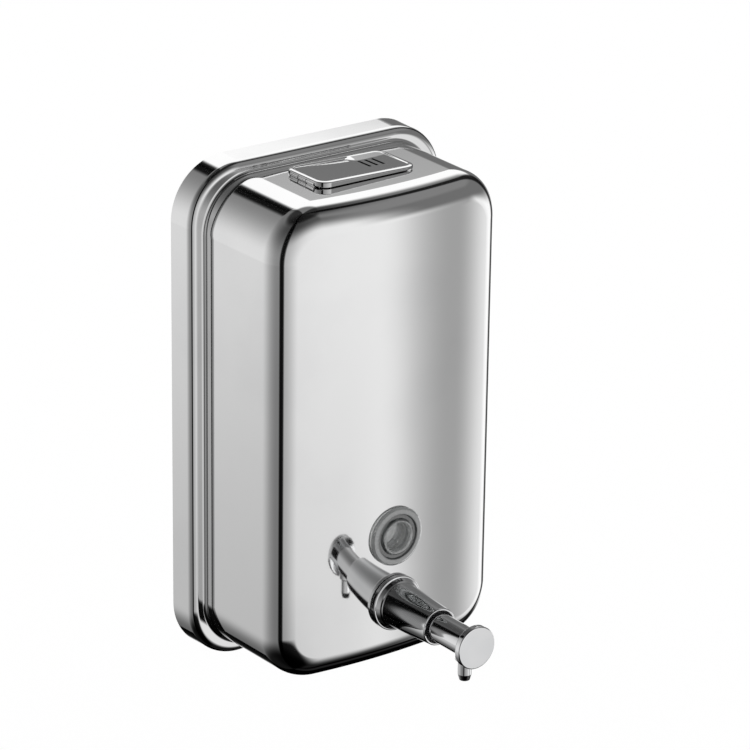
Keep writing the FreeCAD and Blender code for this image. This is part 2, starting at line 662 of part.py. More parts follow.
def build_lid():
    """A pressed tray turned over the collar, with key slots and the middle hinge knuckle."""
    body = new_body("lid", UPRIGHT, filler_place())
    width, corner, wall, rim = dim.lid_width, dim.lid_corner, dim.lid_sheet, dim.lid_rim
    left, right, top = -dim.lid_left, dim.lid_right, dim.lid_top
    ceiling = dim.collar_top + dim.lid_seal
    floor = ceiling + wall

    def add_inset(sketch, inset, shorter=0):
        """The lid's outline moved inwards, and shorter still at the hinge."""
        start, end = left + inset + shorter, right - inset
        add_rounded(sketch, end - start, width - inset * 2, corner - inset, (start + end) / 2, 0)

    shape = new_sketch(body, "XY", dim.lid_gap)
    add_inset(shape, as_size(0))
    extrude(body, "Pad", shape, top - dim.lid_gap)
    rim_height = top.value
    soften(body, "Fillet", dim.lid_edge, lambda box: abs(box.ZMin - rim_height) < 1e-3)
    tray = new_sketch(body, "XY", top)
    add_inset(tray, rim, 0.8)
    extrude(body, "Pocket", tray, top - floor)
    under = new_sketch(body, "XY", ceiling)
    add_inset(under, wall)
    extrude(body, "Pocket", under, ceiling + 1)
    slots = new_sketch(body, "XY", top)
    slot_length, slot_corner = 8.4, 0.65
    for step in (-1, 0, 1):
        across = dim.slot_x + dim.slot_pitch * step
        add_rounded(slots, dim.slot_width, slot_length, slot_corner, across, 0)
    extrude(body, "Pocket", slots, 3)

    # Room to swing: the hinge end's skirt is short, and shorter still over the knuckles.
    beyond, swing, side = left - 1, 0.6, dim.knuckle_end + 0.6
    relief = new_sketch(body, "XZ")
    add_box(relief, beyond, -dim.hinge_x + 1.5, 0.1, swing)
    extrude(body, "Pocket", relief, width + 2, both=True)
    pocket = new_sketch(body, "XZ")
    add_box(pocket, beyond, -dim.hinge_x + dim.knuckle + 0.15, 0.1,
            dim.hinge_rise + dim.knuckle + 0.1)
    extrude(body, "Pocket", pocket, side * 2, both=True)
    length = (dim.knuckle_start - dim.spare) * 2
    arm = new_sketch(body, "XZ")
    add_box(arm, -dim.hinge_x - 0.4, -dim.hinge_x + dim.knuckle, dim.hinge_rise, top - 0.15)
    extrude(body, "Pad", arm, length, both=True)
    knuckle = new_sketch(body, "XZ")
    add_circle(knuckle, dim.knuckle, -dim.hinge_x, dim.hinge_rise)
    extrude(body, "Pad", knuckle, length, both=True)
    bore = new_sketch(body, "XZ")
    add_circle(bore, dim.pin_radius + dim.running, -dim.hinge_x, dim.hinge_rise)
    extrude(body, "Pocket", bore, length + 1, both=True)
    keep("lid", body)

    seal = new_body("lid_gasket", UPRIGHT, filler_place())
    outer, inner = 2.7, 0.7
    sketch = new_sketch(seal, "XY", dim.collar_top)
    for margin, bend in ((outer, 3.4), (inner, 2.4)):
        add_rounded(sketch, dim.throat_length + margin * 2, dim.throat_width + margin * 2, bend)
    extrude(seal, "Pad", sketch, dim.lid_seal)
    keep("lid_gasket", seal)

    half, bevel = dim.knuckle_end + dim.spare, 0.15
    pin = round_cutter("hinge_pin", dim.pin_radius, 0, half * 2, FACING,
                       (-dim.hinge_x, half - dim.lid_depth, top_of_tank() + dim.hinge_rise))
    soften(pin, "Chamfer", bevel, lambda box: box.ZLength < 1e-3)
    keep("hinge_pin", pin)


def build_latch():
    """A sliding bolt in a housing under the lid, pushed out by a small spring."""
    housing = new_body("latch_housing", UPRIGHT, filler_place())
    start, end, wall = dim.housing_start, dim.housing_end, dim.housing_wall
    play, half, bottom = 0.2, 5.4, 0.8
    ceiling = dim.collar_top + dim.lid_seal
    bolt_low, bolt_high = -dim.latch_low, dim.latch_thick - dim.latch_low
    low = bolt_low - play - bottom
    block = new_sketch(housing, "XY", low)
    add_box(block, start, end, -half, half)
    extrude(housing, "Pad", block, ceiling - low)
    channel = new_sketch(housing, "YZ", start + wall)
    side = dim.latch_half + play
    add_box(channel, -side, side, bolt_low - play, bolt_high + play)
    extrude(housing, "Pocket", channel, end, back=True)
    window = new_sketch(housing, "XY", ceiling)
    reach, tall = dim.slot_pitch + 1.0, 4.6
    add_box(window, dim.slot_x - reach, dim.slot_x + reach, -tall, tall)
    extrude(housing, "Pocket", window, ceiling - bolt_high)
    keep("latch_housing", housing)

    bolt = new_body("latch_bolt", UPRIGHT, filler_place())
    plate = new_sketch(bolt, "XY", bolt_low)
    add_box(plate, dim.latch_back, dim.latch_nose, -dim.latch_half, dim.latch_half)
    slot_length, slot_corner = 6.0, 0.65
    for step in (-1, 0, 1):
        across = dim.slot_x + dim.slot_pitch * step
        add_rounded(plate, dim.slot_width, slot_length, slot_corner, across, 0)
    extrude(bolt, "Pad", plate, dim.latch_thick)
    nose, floor, bevel = dim.latch_nose.value, bolt_low.value, 0.5
    soften(bolt, "Chamfer", bevel, lambda box: abs(box.XMin - nose) < 1e-3 and box.YLength > 1
           and box.ZMin < floor + 0.01)
    keep("latch_bolt", bolt)

    middle = top_of_tank() + (bolt_low + bolt_high) / 2
    turn = FreeCAD.Rotation(FreeCAD.Vector(0, 1, 0), 90)
    coil, wire, turns = 0.75, 0.15, 4
    spring("latch_spring", coil, wire, dim.latch_back - start - wall, turns, turn,
           (start + wall, -dim.lid_depth, middle))


def spring(label, coil_radius, wire_radius, length, turns, rotation, at):
    """A compression spring: a round wire swept along a helix, between two seats length apart."""
    coil_radius, wire_radius = as_size(coil_radius), as_size(wire_radius)
    rise = as_size(length) - wire_radius * 2
    helix = doc.addObject("Part::Helix", label + "_path")
    bind(helix, "Radius", coil_radius)
    bind(helix, "Height", rise)
    bind(helix, "Pitch", rise / turns)
    helix.SegmentLength = 0
    wire = doc.addObject("Part::Circle", label + "_wire")
    bind(wire, "Radius", wire_radius)
    wire.Placement = FreeCAD.Placement(
        FreeCAD.Vector(coil_radius.value, 0, 0), FreeCAD.Rotation(FreeCAD.Vector(1, 0, 0), 90))
    bind(wire, "Placement.Base.x", coil_radius)
    doc.recompute()
    sweep = doc.addObject("Part::Sweep", label)
    sweep.Sections = [wire]
    sweep.Spine = (helix, ["Edge1"])
    sweep.Solid = True
    sweep.Frenet = True
    doc.recompute()
    at = [as_size(number) for number in at]
    seat = rotation.multVec(FreeCAD.Vector(0, 0, wire_radius.value))
    base = FreeCAD.Vector(*[size.value for size in at]) + seat
    sweep.Placement = FreeCAD.Placement(base, rotation)
    keep(label, sweep)


# ---------------------------------------------------------------- sight glass
def build_sight(shell):
    """A clear threaded plug with its seals and nut."""
    at = (0, 0, -dim.sight_height)
    back = dim.front_depth + dim.seat
    face = back + 1.4
    lip, groove, window, pane, tail = face + 0.4, face - 0.8, back - 3.0, back - 5.4, back - 9.4
    radius, thread, bore = dim.sight_radius, dim.sight_thread, 5.0
    glass = new_body("sight_glass", FACING, at)
    revolve(glass, [
        (0, window), (5.5, window), (5.9, lip - 0.3), (6.3, lip), (6.8, lip), (7.3, face),
        (7.5, groove), (8.9, groove), (9.2, face), (radius - 0.8, face), (radius, face - 0.7),
        (radius, back), (thread, back), (thread, tail), (bore, tail), (bore, pane), (0, pane),
    ])
    keep("sight_glass", glass)
    inside = dim.front_depth - 0.6
    washer_thick, nut_thick = 1.5, 4.0
    gasket = ring("sight_gasket_blank", thread, radius - 0.5, inside, back, at)
    seat_on_shell("sight_gasket", gasket, shell)
    rear = inside - washer_thick
    washer = ring("sight_washer_blank", thread, radius, rear, inside, at)
    seat_on_shell("sight_washer", washer, shell)
    lock_nut("sight_nut", thread, rear - nut_thick, nut_thick, at)


# ---------------------------------------------------------------- valve
PLUNGER_START = 10.6
CAP_LENGTH = 4.0
STEM_RADIUS, STEM_BORE, STEM_SEAT = 3.0, 1.2, 7.0
PISTON_LENGTH, PISTON_RADIUS, GROOVE_RADIUS = 6.0, 4.5, 3.4
GROOVE_BACK, GROOVE_FRONT = 4.6, 2.0


def build_barrel(shell):
    """The plated barrel, its seals and its nut."""
    at = (0, 0, -dim.valve_height)
    back = dim.front_depth + dim.seat
    flange, thread = dim.valve_flange, dim.valve_thread
    rear, mouth = dim.barrel_back, dim.barrel_mouth
    front = dim.barrel_front
    bush = dim.plunger_radius + 0.95
    tail, step = back - 13.5, mouth - PLUNGER_START
    barrel = new_body("valve_barrel", FACING, at)
    revolve(barrel, [
        (dim.pump_outer, tail), (thread, tail), (thread, back), (flange, back),
        (flange, back + 1.4), (flange - 0.35, back + 1.75), (flange - 0.9, back + 1.9),
        (rear + 0.7, back + 3.4), (rear + 0.2, back + 3.7), (rear, back + 4.0),
        (front, mouth - 0.5), (front - 0.15, mouth - 0.15), (front - 0.5, mouth),
        (bush + 0.15, mouth), (bush, mouth - 0.2), (bush, step), (dim.pump_outer, step),
    ])
    keep("valve_barrel", barrel)
    inside = dim.front_depth - 0.6
    washer_thick, nut_thick = 1.7, 4.5
    gasket = ring("valve_gasket_blank", thread, flange - 0.6, inside, back, at)
    seat_on_shell("valve_gasket", gasket, shell)
    washer = ring("valve_washer_blank", thread, flange + 0.5, inside - washer_thick, inside, at)
    seat_on_shell("valve_washer", washer, shell)
    lock_nut("valve_nut", thread, inside - washer_thick - nut_thick, nut_thick, at)
    slide = dim.plunger_radius + dim.running
    low, high, bush_front = step, mouth - 7.1, mouth - 2.4
    keep("guide_bush", ring("guide_bush", slide, bush, high, bush_front, at))
    seal = new_body("wiper_seal", FACING, at)
    revolve(seal, [
        (slide, low), (bush, low), (bush, high), (bush - 0.4, high), (bush - 0.5, low + 1.2),
        (slide + 0.15, high - 0.3), (slide, high - 0.5),
    ])
    keep("wiper_seal", seal)


def build_pump():
    """The pump cylinder, its cap, the inlet valve and the tube to the bottom of the tank."""
    at = (0, 0, -dim.valve_height)
    bore, outer = dim.pump_bore, dim.pump_outer
    rear, front = dim.pump_back, dim.pump_front
    ball = dim.ball_radius
    cage = ball + 0.6
    end_wall, boss_radius, boss_end, cage_top = 2, 4.0, 12, 6.6
    cylinder = new_body("pump_cylinder", FACING, at)
    tube = new_sketch(cylinder, "XY", rear)
    add_circle(tube, outer)
    extrude(cylinder, "Pad", tube, front - rear)
    boss = new_sketch(cylinder, "XZ")
    add_circle(boss, boss_radius, 0, dim.inlet_depth)
    extrude(cylinder, "Pad", boss, boss_end)
    chamber = new_sketch(cylinder, "XY", rear + end_wall)
    add_circle(chamber, bore)
    extrude(cylinder, "Pocket", chamber, front, back=True)
    port = new_sketch(cylinder, "XZ", bore - 1.8)
    add_circle(port, dim.port, 0, dim.inlet_depth)
    extrude(cylinder, "Pocket", port, cage_top, back=True)
    pocket = new_sketch(cylinder, "XZ", cage_top)
    add_circle(pocket, cage, 0, dim.inlet_depth)
    extrude(cylinder, "Pocket", pocket, boss_end, back=True)
    keep("pump_cylinder", cylinder)

    stem = dim.running + STEM_RADIUS
    cap_start = front - CAP_LENGTH
    keep("cylinder_cap", ring("cylinder_cap", stem, bore, cap_start, front, at))

    # These stand upright on the inlet's axis: Z = 0 is the valve's axis.
    inlet = (0, -dim.inlet_depth, -dim.valve_height)
    face, shoulder, spigot_end = -11, -13, -17
    tube_bore, tube_radius, tube_end, rim = 2.0, 3.0, -23.4, 3.9
    seat = new_body("inlet_seat", UPRIGHT, inlet)
    revolve(seat, [
        (dim.port, spigot_end), (tube_bore, spigot_end), (tube_bore, shoulder), (rim, shoulder),
        (rim, -boss_end), (cage, -boss_end), (cage, face), (dim.port, face),
    ])
    keep("inlet_seat", seat)
    keep("dip_tube", ring("dip_tube", tube_bore, tube_radius, tube_end, shoulder, inlet, UPRIGHT))
    bead = doc.addObject("Part::Sphere", "inlet_ball")
    bind(bead, "Radius", ball)
    rest = math.sqrt(ball.value ** 2 - dim.port.value ** 2) + 0.03
    set_down(bead, UPRIGHT, (0, -dim.inlet_depth, -dim.valve_height + face + rest))
    keep("inlet_ball", bead)


def build_plunger():
    """What moves when the head is pushed: head, plunger, nozzle, stem and piston seal."""
    at = (0, 0, -dim.valve_height)
    radius = dim.plunger_radius
    end = dim.head_face - dim.head_thick
    start = dim.barrel_mouth - PLUNGER_START
    spigot, spigot_end, duct, spout_radius = 2.5, end - 2.1, 1.5, 2.2
    stem_end = start + STEM_SEAT
    plunger = new_body("plunger", FACING, at)
    revolve(plunger, [
        (STEM_RADIUS, start), (radius - 0.3, start), (radius, start + 0.3), (radius, end),
        (spigot, end), (spigot, spigot_end), (duct, spigot_end), (duct, stem_end),
        (STEM_RADIUS, stem_end),
    ])
    hole = new_sketch(plunger, "XZ", 0)
    add_circle(hole, spout_radius, 0, dim.nozzle_depth)
    extrude(plunger, "Pocket", hole, radius + 2, back=True)
    keep("plunger", plunger)

    head = new_body("push_head", FACING, at)
    face, wide = dim.head_face, dim.head_radius
    revolve(head, [
        (0, spigot_end), (spigot, spigot_end), (spigot, end), (wide - 0.5, end),
        (wide, end + 0.4),
        (wide, face - 0.5), (wide - 0.15, face - 0.15), (wide - 0.5, face), (0, face),
    ])
    keep("push_head", head)

    low = -dim.nozzle_drop
    out, bore, seat, collar, seat_end = dim.nozzle_radius, 1.3, 1.7, 3.9, low + 4
    at_spout = (0, -dim.nozzle_depth, -dim.valve_height)
    spout = new_body("nozzle_blank", UPRIGHT, at_spout)
    revolve(spout, [
        (bore, -1.6), (spout_radius, -1.6), (spout_radius, -4.6), (collar, -4.6), (collar, -7.0),
        (collar - 0.4, -7.5), (out, -7.8), (out, low + 2.6), (out - 0.5, low + 0.2),
        (out - 0.7, low), (seat, low), (seat, seat_end), (bore, seat_end),
    ])
    keep("nozzle", combine("Cut", "nozzle", spout, plunger))
    drip = new_body("drip_valve", UPRIGHT, at_spout)
    slit = 0.4
    revolve(drip, [
        (0.8, seat_end), (seat, seat_end), (seat, low + 1.0), (0.9, low + 0.3),
        (slit, low + 0.3), (slit, low + 1.2),
    ])
    keep("drip_valve", drip)

    cap = dim.pump_front - CAP_LENGTH
    tail, face = cap - PISTON_LENGTH, cap - 0.1
    groove_low, groove_high = cap - GROOVE_BACK, cap - GROOVE_FRONT
    stem = new_body("piston_stem", FACING, at)
    revolve(stem, [
        (STEM_BORE, tail), (PISTON_RADIUS, tail), (PISTON_RADIUS, groove_low),
        (GROOVE_RADIUS, groove_low), (GROOVE_RADIUS, groove_high), (PISTON_RADIUS, groove_high),
        (PISTON_RADIUS, face), (STEM_RADIUS, face), (STEM_RADIUS, stem_end),
        (STEM_BORE, stem_end),
    ])
    keep("piston_stem", stem)
    lip = dim.pump_bore - dim.running
    waist = lip - 0.25
    seal = new_body("piston_seal", FACING, at)
    revolve(seal, [
        (GROOVE_RADIUS, groove_low), (lip, groove_low), (lip, groove_low + 0.6),
        (waist, groove_low + 1.1), (waist, groove_high - 0.6), (lip, groove_high),
        (GROOVE_RADIUS, groove_high),
    ])
    keep("piston_seal", seal)

    seat = dim.pump_back + 2
    coil, wire, turns = 3.9, 0.35, 11
    spring("return_spring", coil, wire, tail - seat, turns, FACING, (0, -seat, -dim.valve_height))


def check_and_write():
    """Stop on anything that failed to build, then write each node."""
    doc.recompute()
    for thing in doc.Objects:
        if "Invalid" in thing.State or "Error" in thing.State:
            raise RuntimeError(f"{thing.Label} is {thing.State}")
    os.makedirs("parts", exist_ok=True)
    for label, thing in NODES.items():
        shape = thing.Shape
        if shape.isNull() or not shape.isValid():
            raise RuntimeError(f"{label} has no valid shape")
        if len(shape.Solids) != 1:
            raise RuntimeError(f"{label} has {len(shape.Solids)} solids")
        shape.exportStep(f"parts/{label}.step")
        box = shape.BoundBox
        print(f"{label:22s} {shape.Volume:10.1f} mm3  "
              f"x {box.XMin:7.2f} {box.XMax:7.2f}  y {box.YMin:8.2f} {box.YMax:7.2f}  "
              f"z {box.ZMin:8.2f} {box.ZMax:7.2f}")


front_shell = build_shell()
build_back_plate()
build_bridges()
build_bracket()
build_lock_screw()
build_collar(front_shell)
build_keeper()
build_lid()
build_latch()
build_sight(front_shell)
build_barrel(front_shell)
build_pump()
build_plunger()
check_and_write()
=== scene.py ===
import json
import logging
import math
from collections.abc import Callable
from dataclasses import dataclass
from enum import Enum

import bpy
import numpy as np
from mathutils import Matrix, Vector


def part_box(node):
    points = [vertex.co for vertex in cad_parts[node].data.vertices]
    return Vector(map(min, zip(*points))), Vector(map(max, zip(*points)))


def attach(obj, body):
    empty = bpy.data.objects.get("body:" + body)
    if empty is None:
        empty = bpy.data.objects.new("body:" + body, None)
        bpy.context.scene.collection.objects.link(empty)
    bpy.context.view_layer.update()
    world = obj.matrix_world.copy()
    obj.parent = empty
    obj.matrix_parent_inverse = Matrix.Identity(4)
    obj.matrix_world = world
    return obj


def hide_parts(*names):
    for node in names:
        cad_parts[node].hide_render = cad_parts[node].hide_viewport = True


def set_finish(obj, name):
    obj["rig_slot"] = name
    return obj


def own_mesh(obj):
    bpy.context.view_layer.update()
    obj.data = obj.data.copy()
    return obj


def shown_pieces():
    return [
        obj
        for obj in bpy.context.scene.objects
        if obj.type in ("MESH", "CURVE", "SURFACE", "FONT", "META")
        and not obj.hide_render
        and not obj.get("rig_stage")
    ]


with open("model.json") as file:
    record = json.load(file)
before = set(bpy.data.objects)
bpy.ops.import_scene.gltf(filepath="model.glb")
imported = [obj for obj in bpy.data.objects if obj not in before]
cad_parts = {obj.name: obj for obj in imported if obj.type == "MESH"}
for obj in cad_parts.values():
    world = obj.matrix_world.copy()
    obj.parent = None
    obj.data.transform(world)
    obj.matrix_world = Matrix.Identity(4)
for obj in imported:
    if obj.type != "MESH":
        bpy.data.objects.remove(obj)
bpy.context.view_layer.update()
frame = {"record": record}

# A wall mounted soap dispenser: a drawn steel tank with a filler lid, a sight glass and a push
# valve. Sizes are in millimetres and become metres when a mesh is made. +X is to the right of
# someone who faces the dispenser, +Y goes into the wall and +Z is up; "depth" is the distance out
# from the wall, so y = -depth.

logging.basicConfig(level=logging.INFO, format="%(message)s")
log = logging.getLogger("dispenser")

MM = 0.001
WELD = 1e-4
HALVINGS = 40
OUT = np.array([0.0, -1.0, 0.0])
UP = np.array([0.0, 0.0, 1.0])
ASKEW = np.array([0.3, 0.5, 0.8])
Pair = tuple[float, float]
Triple = tuple[float, float, float]
Outline = tuple[Triple, ...]
Arrays = tuple[np.ndarray, np.ndarray]


class Slot(Enum):
    """The record's material slots."""

    POLISHED = "polished_steel"
    PLATED = "plated_metal"
    PLAIN = "plain_steel"
    CLEAR = "clear_plastic"
    RUBBER = "black_rubber"
    SILICONE = "pale_silicone"
    BLACK = "black_plastic"
    WHITE = "white_plastic"
    BRASS = "brass"


# ---------------------------------------------------------------- surfaces
def unit(vectors: np.ndarray) -> np.ndarray:
    """Vectors scaled to length one; a zero vector stays zero."""
    length = np.linalg.norm(vectors, axis=-1, keepdims=True)
    return vectors / np.where(length == 0, 1, length)


@dataclass(frozen=True)
class Skin:
    """Faces over a set of points, with the outward normal at each point.

    Points that meet are welded when the mesh is made, and a face keeps the normals of its own
    points, so an edge is sharp where two points with different normals meet.

    Args:
        points: The places, one row each, in millimetres.
        normals: The outward unit normals, one row each.
        faces: Four point numbers a row; a triangle repeats one.
    """

    points: np.ndarray
    normals: np.ndarray
    faces: np.ndarray

    def turned_out(self) -> "Skin":
        """The same skin with every face wound so that it looks along its points' normals."""
        corners = self.points[self.faces]
        diagonals = np.cross(corners[:, 2] - corners[:, 0], corners[:, 3] - corners[:, 1])
        inward = (diagonals * self.normals[self.faces].sum(axis=1)).sum(axis=1) < 0
        faces = np.where(inward[:, None], self.faces[:, ::-1], self.faces)
        return Skin(self.points, self.normals, faces)

    def welded(self) -> np.ndarray:
        """For each point, the number of the first point at the same place."""
        cells = np.round(self.points / WELD).astype(np.int64)
        _, first, index = np.unique(cells, axis=0, return_index=True, return_inverse=True)
        return first[index.ravel()]

    def walled(self, gauge: float) -> "Skin":
        """This open skin as a closed sheet of even thickness.

        The inner face is each point moved back along its normal by the gauge. Every edge that only
        one face uses gets a wall between the two.

        Args:
            gauge: The sheet's thickness.

        Returns:
            The closed skin.
        """
        outer = self.turned_out()
        same = outer.welded()
        faces = same[outer.faces]
        starts, ends = faces.ravel(), np.roll(faces, -1, axis=1).ravel()
        real = starts != ends
        starts, ends = starts[real], ends[real]
        count = len(self.points)
        rim = ~np.isin(starts * count + ends, ends * count + starts)
        starts, ends = starts[rim], ends[rim]
        away = np.cross(self.points[ends] - self.points[starts], self.normals[starts])
        facing = np.zeros_like(self.points)
        np.add.at(facing, starts, away)
        np.add.at(facing, ends, away)
        facing = unit(facing)
        inner = self.points - gauge * self.normals
        points = np.concatenate([self.points, inner, self.points, inner])
        normals = np.concatenate([self.normals, -self.normals, facing, facing])
        wall = np.stack([starts, ends, ends + count, starts + count], axis=1) + 2 * count
        return Skin(points, normals, np.concatenate([faces, faces + count, wall]))


def joined(*skins: Skin) -> Skin:
    """Several skins as one."""
    starts = np.cumsum([0] + [len(skin.points) for skin in skins[:-1]])
    faces = [skin.faces + start for skin, start in zip(skins, starts)]
    return Skin(
        np.concatenate([skin.points for skin in skins]),
        np.concatenate([skin.normals for skin in skins]),
        np.concatenate(faces),
    )


def grid(points: np.ndarray, normals: np.ndarray, round_: bool = False,
         keep: np.ndarray | None = None) -> Skin:
    """A skin over a grid: each cell between neighbouring rows and columns is one face.

    Args:
        points: The places, rows by columns by three.
        normals: The normals, of the same shape or one that broadcasts to it.
        round_: True joins the last column to the first.
        keep: For each cell, whether it gets its face. None keeps all.

    Returns:
        The skin.
    """
    rows, columns = points.shape[:2]
    number = np.arange(rows * columns).reshape(rows, columns)
    following = np.roll(number, -1, axis=1)
    cells = np.stack([number[:-1], following[:-1], following[1:], number[1:]], axis=-1)
    cells = cells if round_ else cells[:, :-1]
    faces = cells.reshape(-1, 4) if keep is None else cells[keep]
    normals = np.broadcast_to(normals, points.shape).reshape(-1, 3)
    return Skin(points.reshape(-1, 3), normals, faces)


def make(name: str, skin: Skin) -> bpy.types.Object:
    """A Blender object from a skin: welded, in metres, with its place in its mesh.

    Args:
        name: The piece's name.
        skin: The closed skin.

    Returns:
        The object, linked to the scene.
    """
    skin = skin.turned_out()
    same = skin.welded()
    faces = same[skin.faces]
    kept = faces != np.roll(faces, 1, axis=1)
    whole = kept.sum(axis=1) > 2
    faces, corner, kept = faces[whole], skin.faces[whole], kept[whole]
    used, index = np.unique(faces, return_inverse=True)
    index = index.reshape(faces.shape)[kept]
    sides = kept.sum(axis=1)
    mesh = bpy.data.meshes.new(name)
    mesh.vertices.add(len(used))
    mesh.vertices.foreach_set("co", (skin.points[used] * MM).astype(np.float32).ravel())
    mesh.loops.add(len(index))
    mesh.loops.foreach_set("vertex_index", index.astype(np.int32))
    mesh.polygons.add(len(sides))
    mesh.polygons.foreach_set("loop_start", (np.cumsum(sides) - sides).astype(np.int32))
    mesh.polygons.foreach_set("loop_total", sides.astype(np.int32))
    mesh.polygons.foreach_set("use_smooth", np.ones(len(sides), bool))
    mesh.update(calc_edges=True)
    if mesh.validate():
        raise RuntimeError(f"{name} has faces that don't make a mesh")
    mesh.normals_split_custom_set(skin.normals[corner[kept]].tolist())
    piece = bpy.data.objects.new(name, mesh)
    bpy.context.scene.collection.objects.link(piece)
    return piece


def settle(piece: bpy.types.Object, body: str, slot: Slot,
           node: str | None = None) -> bpy.types.Object:
    """Put a piece in the place of its CAD node, if it has one, on its body, in its slot."""
    if node:
        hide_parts(node)
    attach(piece, body)
    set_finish(piece, slot.value)
    return piece


def middle_of(node: str) -> np.ndarray:
    """The middle of a CAD node's box, in millimetres."""
    return np.array([list(corner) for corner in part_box(node)]).mean(axis=0) / MM


# ---------------------------------------------------------------- outlines
def rounded(corners: Outline, closed: bool = True,
            steps: int = 7) -> Arrays:
    """An outline of straight runs with an arc in each corner.

    At a corner with rounding q, where the outline turns by the angle t, the arc touches both runs
    at q * tan(t / 2) from the corner and its normal turns evenly from one run's to the other's.

    Args:
        corners: Each corner's two coordinates and its rounding.
        closed: False leaves the outline open between its last corner and its first.
        steps: Points on each arc.

    Returns:
        The points and their outward normals, two coordinates a row.
    """
    data = np.array(corners, float)
    place, q = data[:, :2], data[:, 2:]
    into = unit(place - np.roll(place, 1, axis=0))
    out = unit(np.roll(place, -1, axis=0) - place)
    if not closed:
        into[0], out[-1] = out[0], into[-1]
    turn = np.arctan2(into[:, 0] * out[:, 1] - into[:, 1] * out[:, 0], (into * out).sum(axis=1))
    side = np.where(turn < 0, -1.0, 1.0)[:, None]
    right = np.stack([into[:, 1], -into[:, 0]], axis=1)
    centre = place - q * np.tan(np.abs(turn) / 2)[:, None] * into - side * q * right
    angle = turn[:, None] * np.linspace(0, 1, steps)
    cos, sin = np.cos(angle), np.sin(angle)
    normals = np.stack([
        right[:, :1] * cos - right[:, 1:] * sin, right[:, :1] * sin + right[:, 1:] * cos
    ], axis=-1)
    points = centre[:, None] + (side * q)[:, None] * normals
    points, normals = points.reshape(-1, 2), normals.reshape(-1, 2)
    after = np.roll(points, -1, axis=0)
    area = (points[:, 0] * after[:, 1] - points[:, 1] * after[:, 0]).sum()
    return points, normals * np.sign(area)


def turned(corners: Outline, origin: Triple,
           axis: np.ndarray = OUT, closed: bool = True, steps: int = 7,
           segments: int = 96) -> Skin:
    """A turned piece: an outline of radius and height carried round an axis.

    Args:
        corners: The outline: radius, height along the axis, rounding.
        origin: The point on the axis with height zero.
        axis: The axis, a unit vector.
        closed: False for an outline that starts and ends on the axis.
        steps: Points on each arc of the outline.
        segments: Columns round the axis.

    Returns:
        The skin.
    """
    profile, slope = rounded(corners, closed, steps)
    if closed:
        profile, slope = np.concatenate([profile, profile[:1]]), np.concatenate([slope, slope[:1]])
    across = unit(np.cross(axis, [1.0, 0.0, 0.0]))
    beside = np.cross(axis, across)
    angle = np.linspace(0, 2 * np.pi, segments, endpoint=False)[:, None]
    radial = across * np.cos(angle) + beside * np.sin(angle)

    def carried(pair: np.ndarray) -> np.ndarray:
        """Radius times the radial direction plus height times the axis, for each column."""
        return pair[:, 0, None, None] * radial + pair[:, 1, None, None] * axis

    return grid(np.array(origin) + carried(profile), carried(slope), round_=True)


@dataclass(frozen=True)
class Track:
    """Stations round a rectangle with rounded corners, which any such outline can share.

    A station holds how far the corner's centre is along each half side, from -1 to 1, and the
    outward direction there. Its place is the centre plus the corner's radius along that direction.

    Args:
        stops: For the right, top, left and bottom sides, in that order and anticlockwise, the
            fractions from -1 to 1 along each.
        corner_steps: Steps round each corner.
    """

    stops: tuple[np.ndarray, np.ndarray, np.ndarray, np.ndarray]
    corner_steps: int

    def stations(self) -> Arrays:
        """The centres and the outward directions, two coordinates a row."""
        centres, outward = [], []
        quarter = np.linspace(0, np.pi / 2, self.corner_steps + 1)[1:-1]
        for turn, along in enumerate(self.stops):
            start = turn * np.pi / 2
            cos, sin = round(math.cos(start)), round(math.sin(start))
            centres.append(np.stack([cos - along * sin, sin + along * cos], axis=1))
            outward.append(np.tile([float(cos), float(sin)], (len(along), 1)))
            centres.append(np.tile([float(cos - sin), float(sin + cos)], (len(quarter), 1)))
            outward.append(np.stack([np.cos(start + quarter), np.sin(start + quarter)], axis=1))
        return np.concatenate(centres), np.concatenate(outward)

    def side(self, turn: int) -> slice:
        """The columns of one straight side, both ends included."""
        before = sum(len(along) for along in self.stops[:turn])
        start = before + turn * (self.corner_steps - 1)
        return slice(start, start + len(self.stops[turn]))


def loops(track: Track, width: np.ndarray, height: np.ndarray,
          corner: np.ndarray) -> Arrays:
    """The two coordinates of a track's stations on one outline or several.

    Args:
        track: The stations.
        width: The outline's width, or a column of widths.
        height: The outline's height, likewise.
        corner: The outline's corner radius, likewise.

    Returns:
        The first and the second coordinate.
    """
    centres, outward = track.stations()
    return (
        centres[:, 0] * (width / 2 - corner) + outward[:, 0] * corner,
        centres[:, 1] * (height / 2 - corner) + outward[:, 1] * corner,
    )


def reach(direction: np.ndarray, width: float, height: float, corner: float) -> np.ndarray:
    """How far a rounded rectangle's edge is from its middle in each direction.

    The distance to the edge is that to the rectangle shrunk by the corner's radius, less the
    radius; halving an interval finds where it is zero.
    """
    low = np.zeros(len(direction))
    high = np.full(len(direction), math.hypot(width, height))
    inside = np.array([width, height]) / 2 - corner
    for _ in range(HALVINGS):
        middle = (low + high) / 2
        beyond = np.abs(direction * middle[:, None]) - inside
        gap = np.linalg.norm(np.maximum(beyond, 0), axis=1) + np.minimum(beyond.max(axis=1), 0)
        low, high = np.where(gap < corner, middle, low), np.where(gap < corner, high, middle)
    return low


def fan(edge: np.ndarray, hole: np.ndarray, rows: int) -> np.ndarray:
    """Rows of points that run evenly from a hole's edge out to a closed outline."""
    share = np.linspace(0, 1, rows)[:, None, None]
    return hole + (edge - hole) * share


def block_edge(points: np.ndarray, rows: slice, columns: slice) -> np.ndarray:
    """The points round a block of a grid, once each."""
    block = points[rows, columns]
    return np.concatenate([block[0, :-1], block[:-1, -1], block[-1, :0:-1], block[:0:-1, 0]])


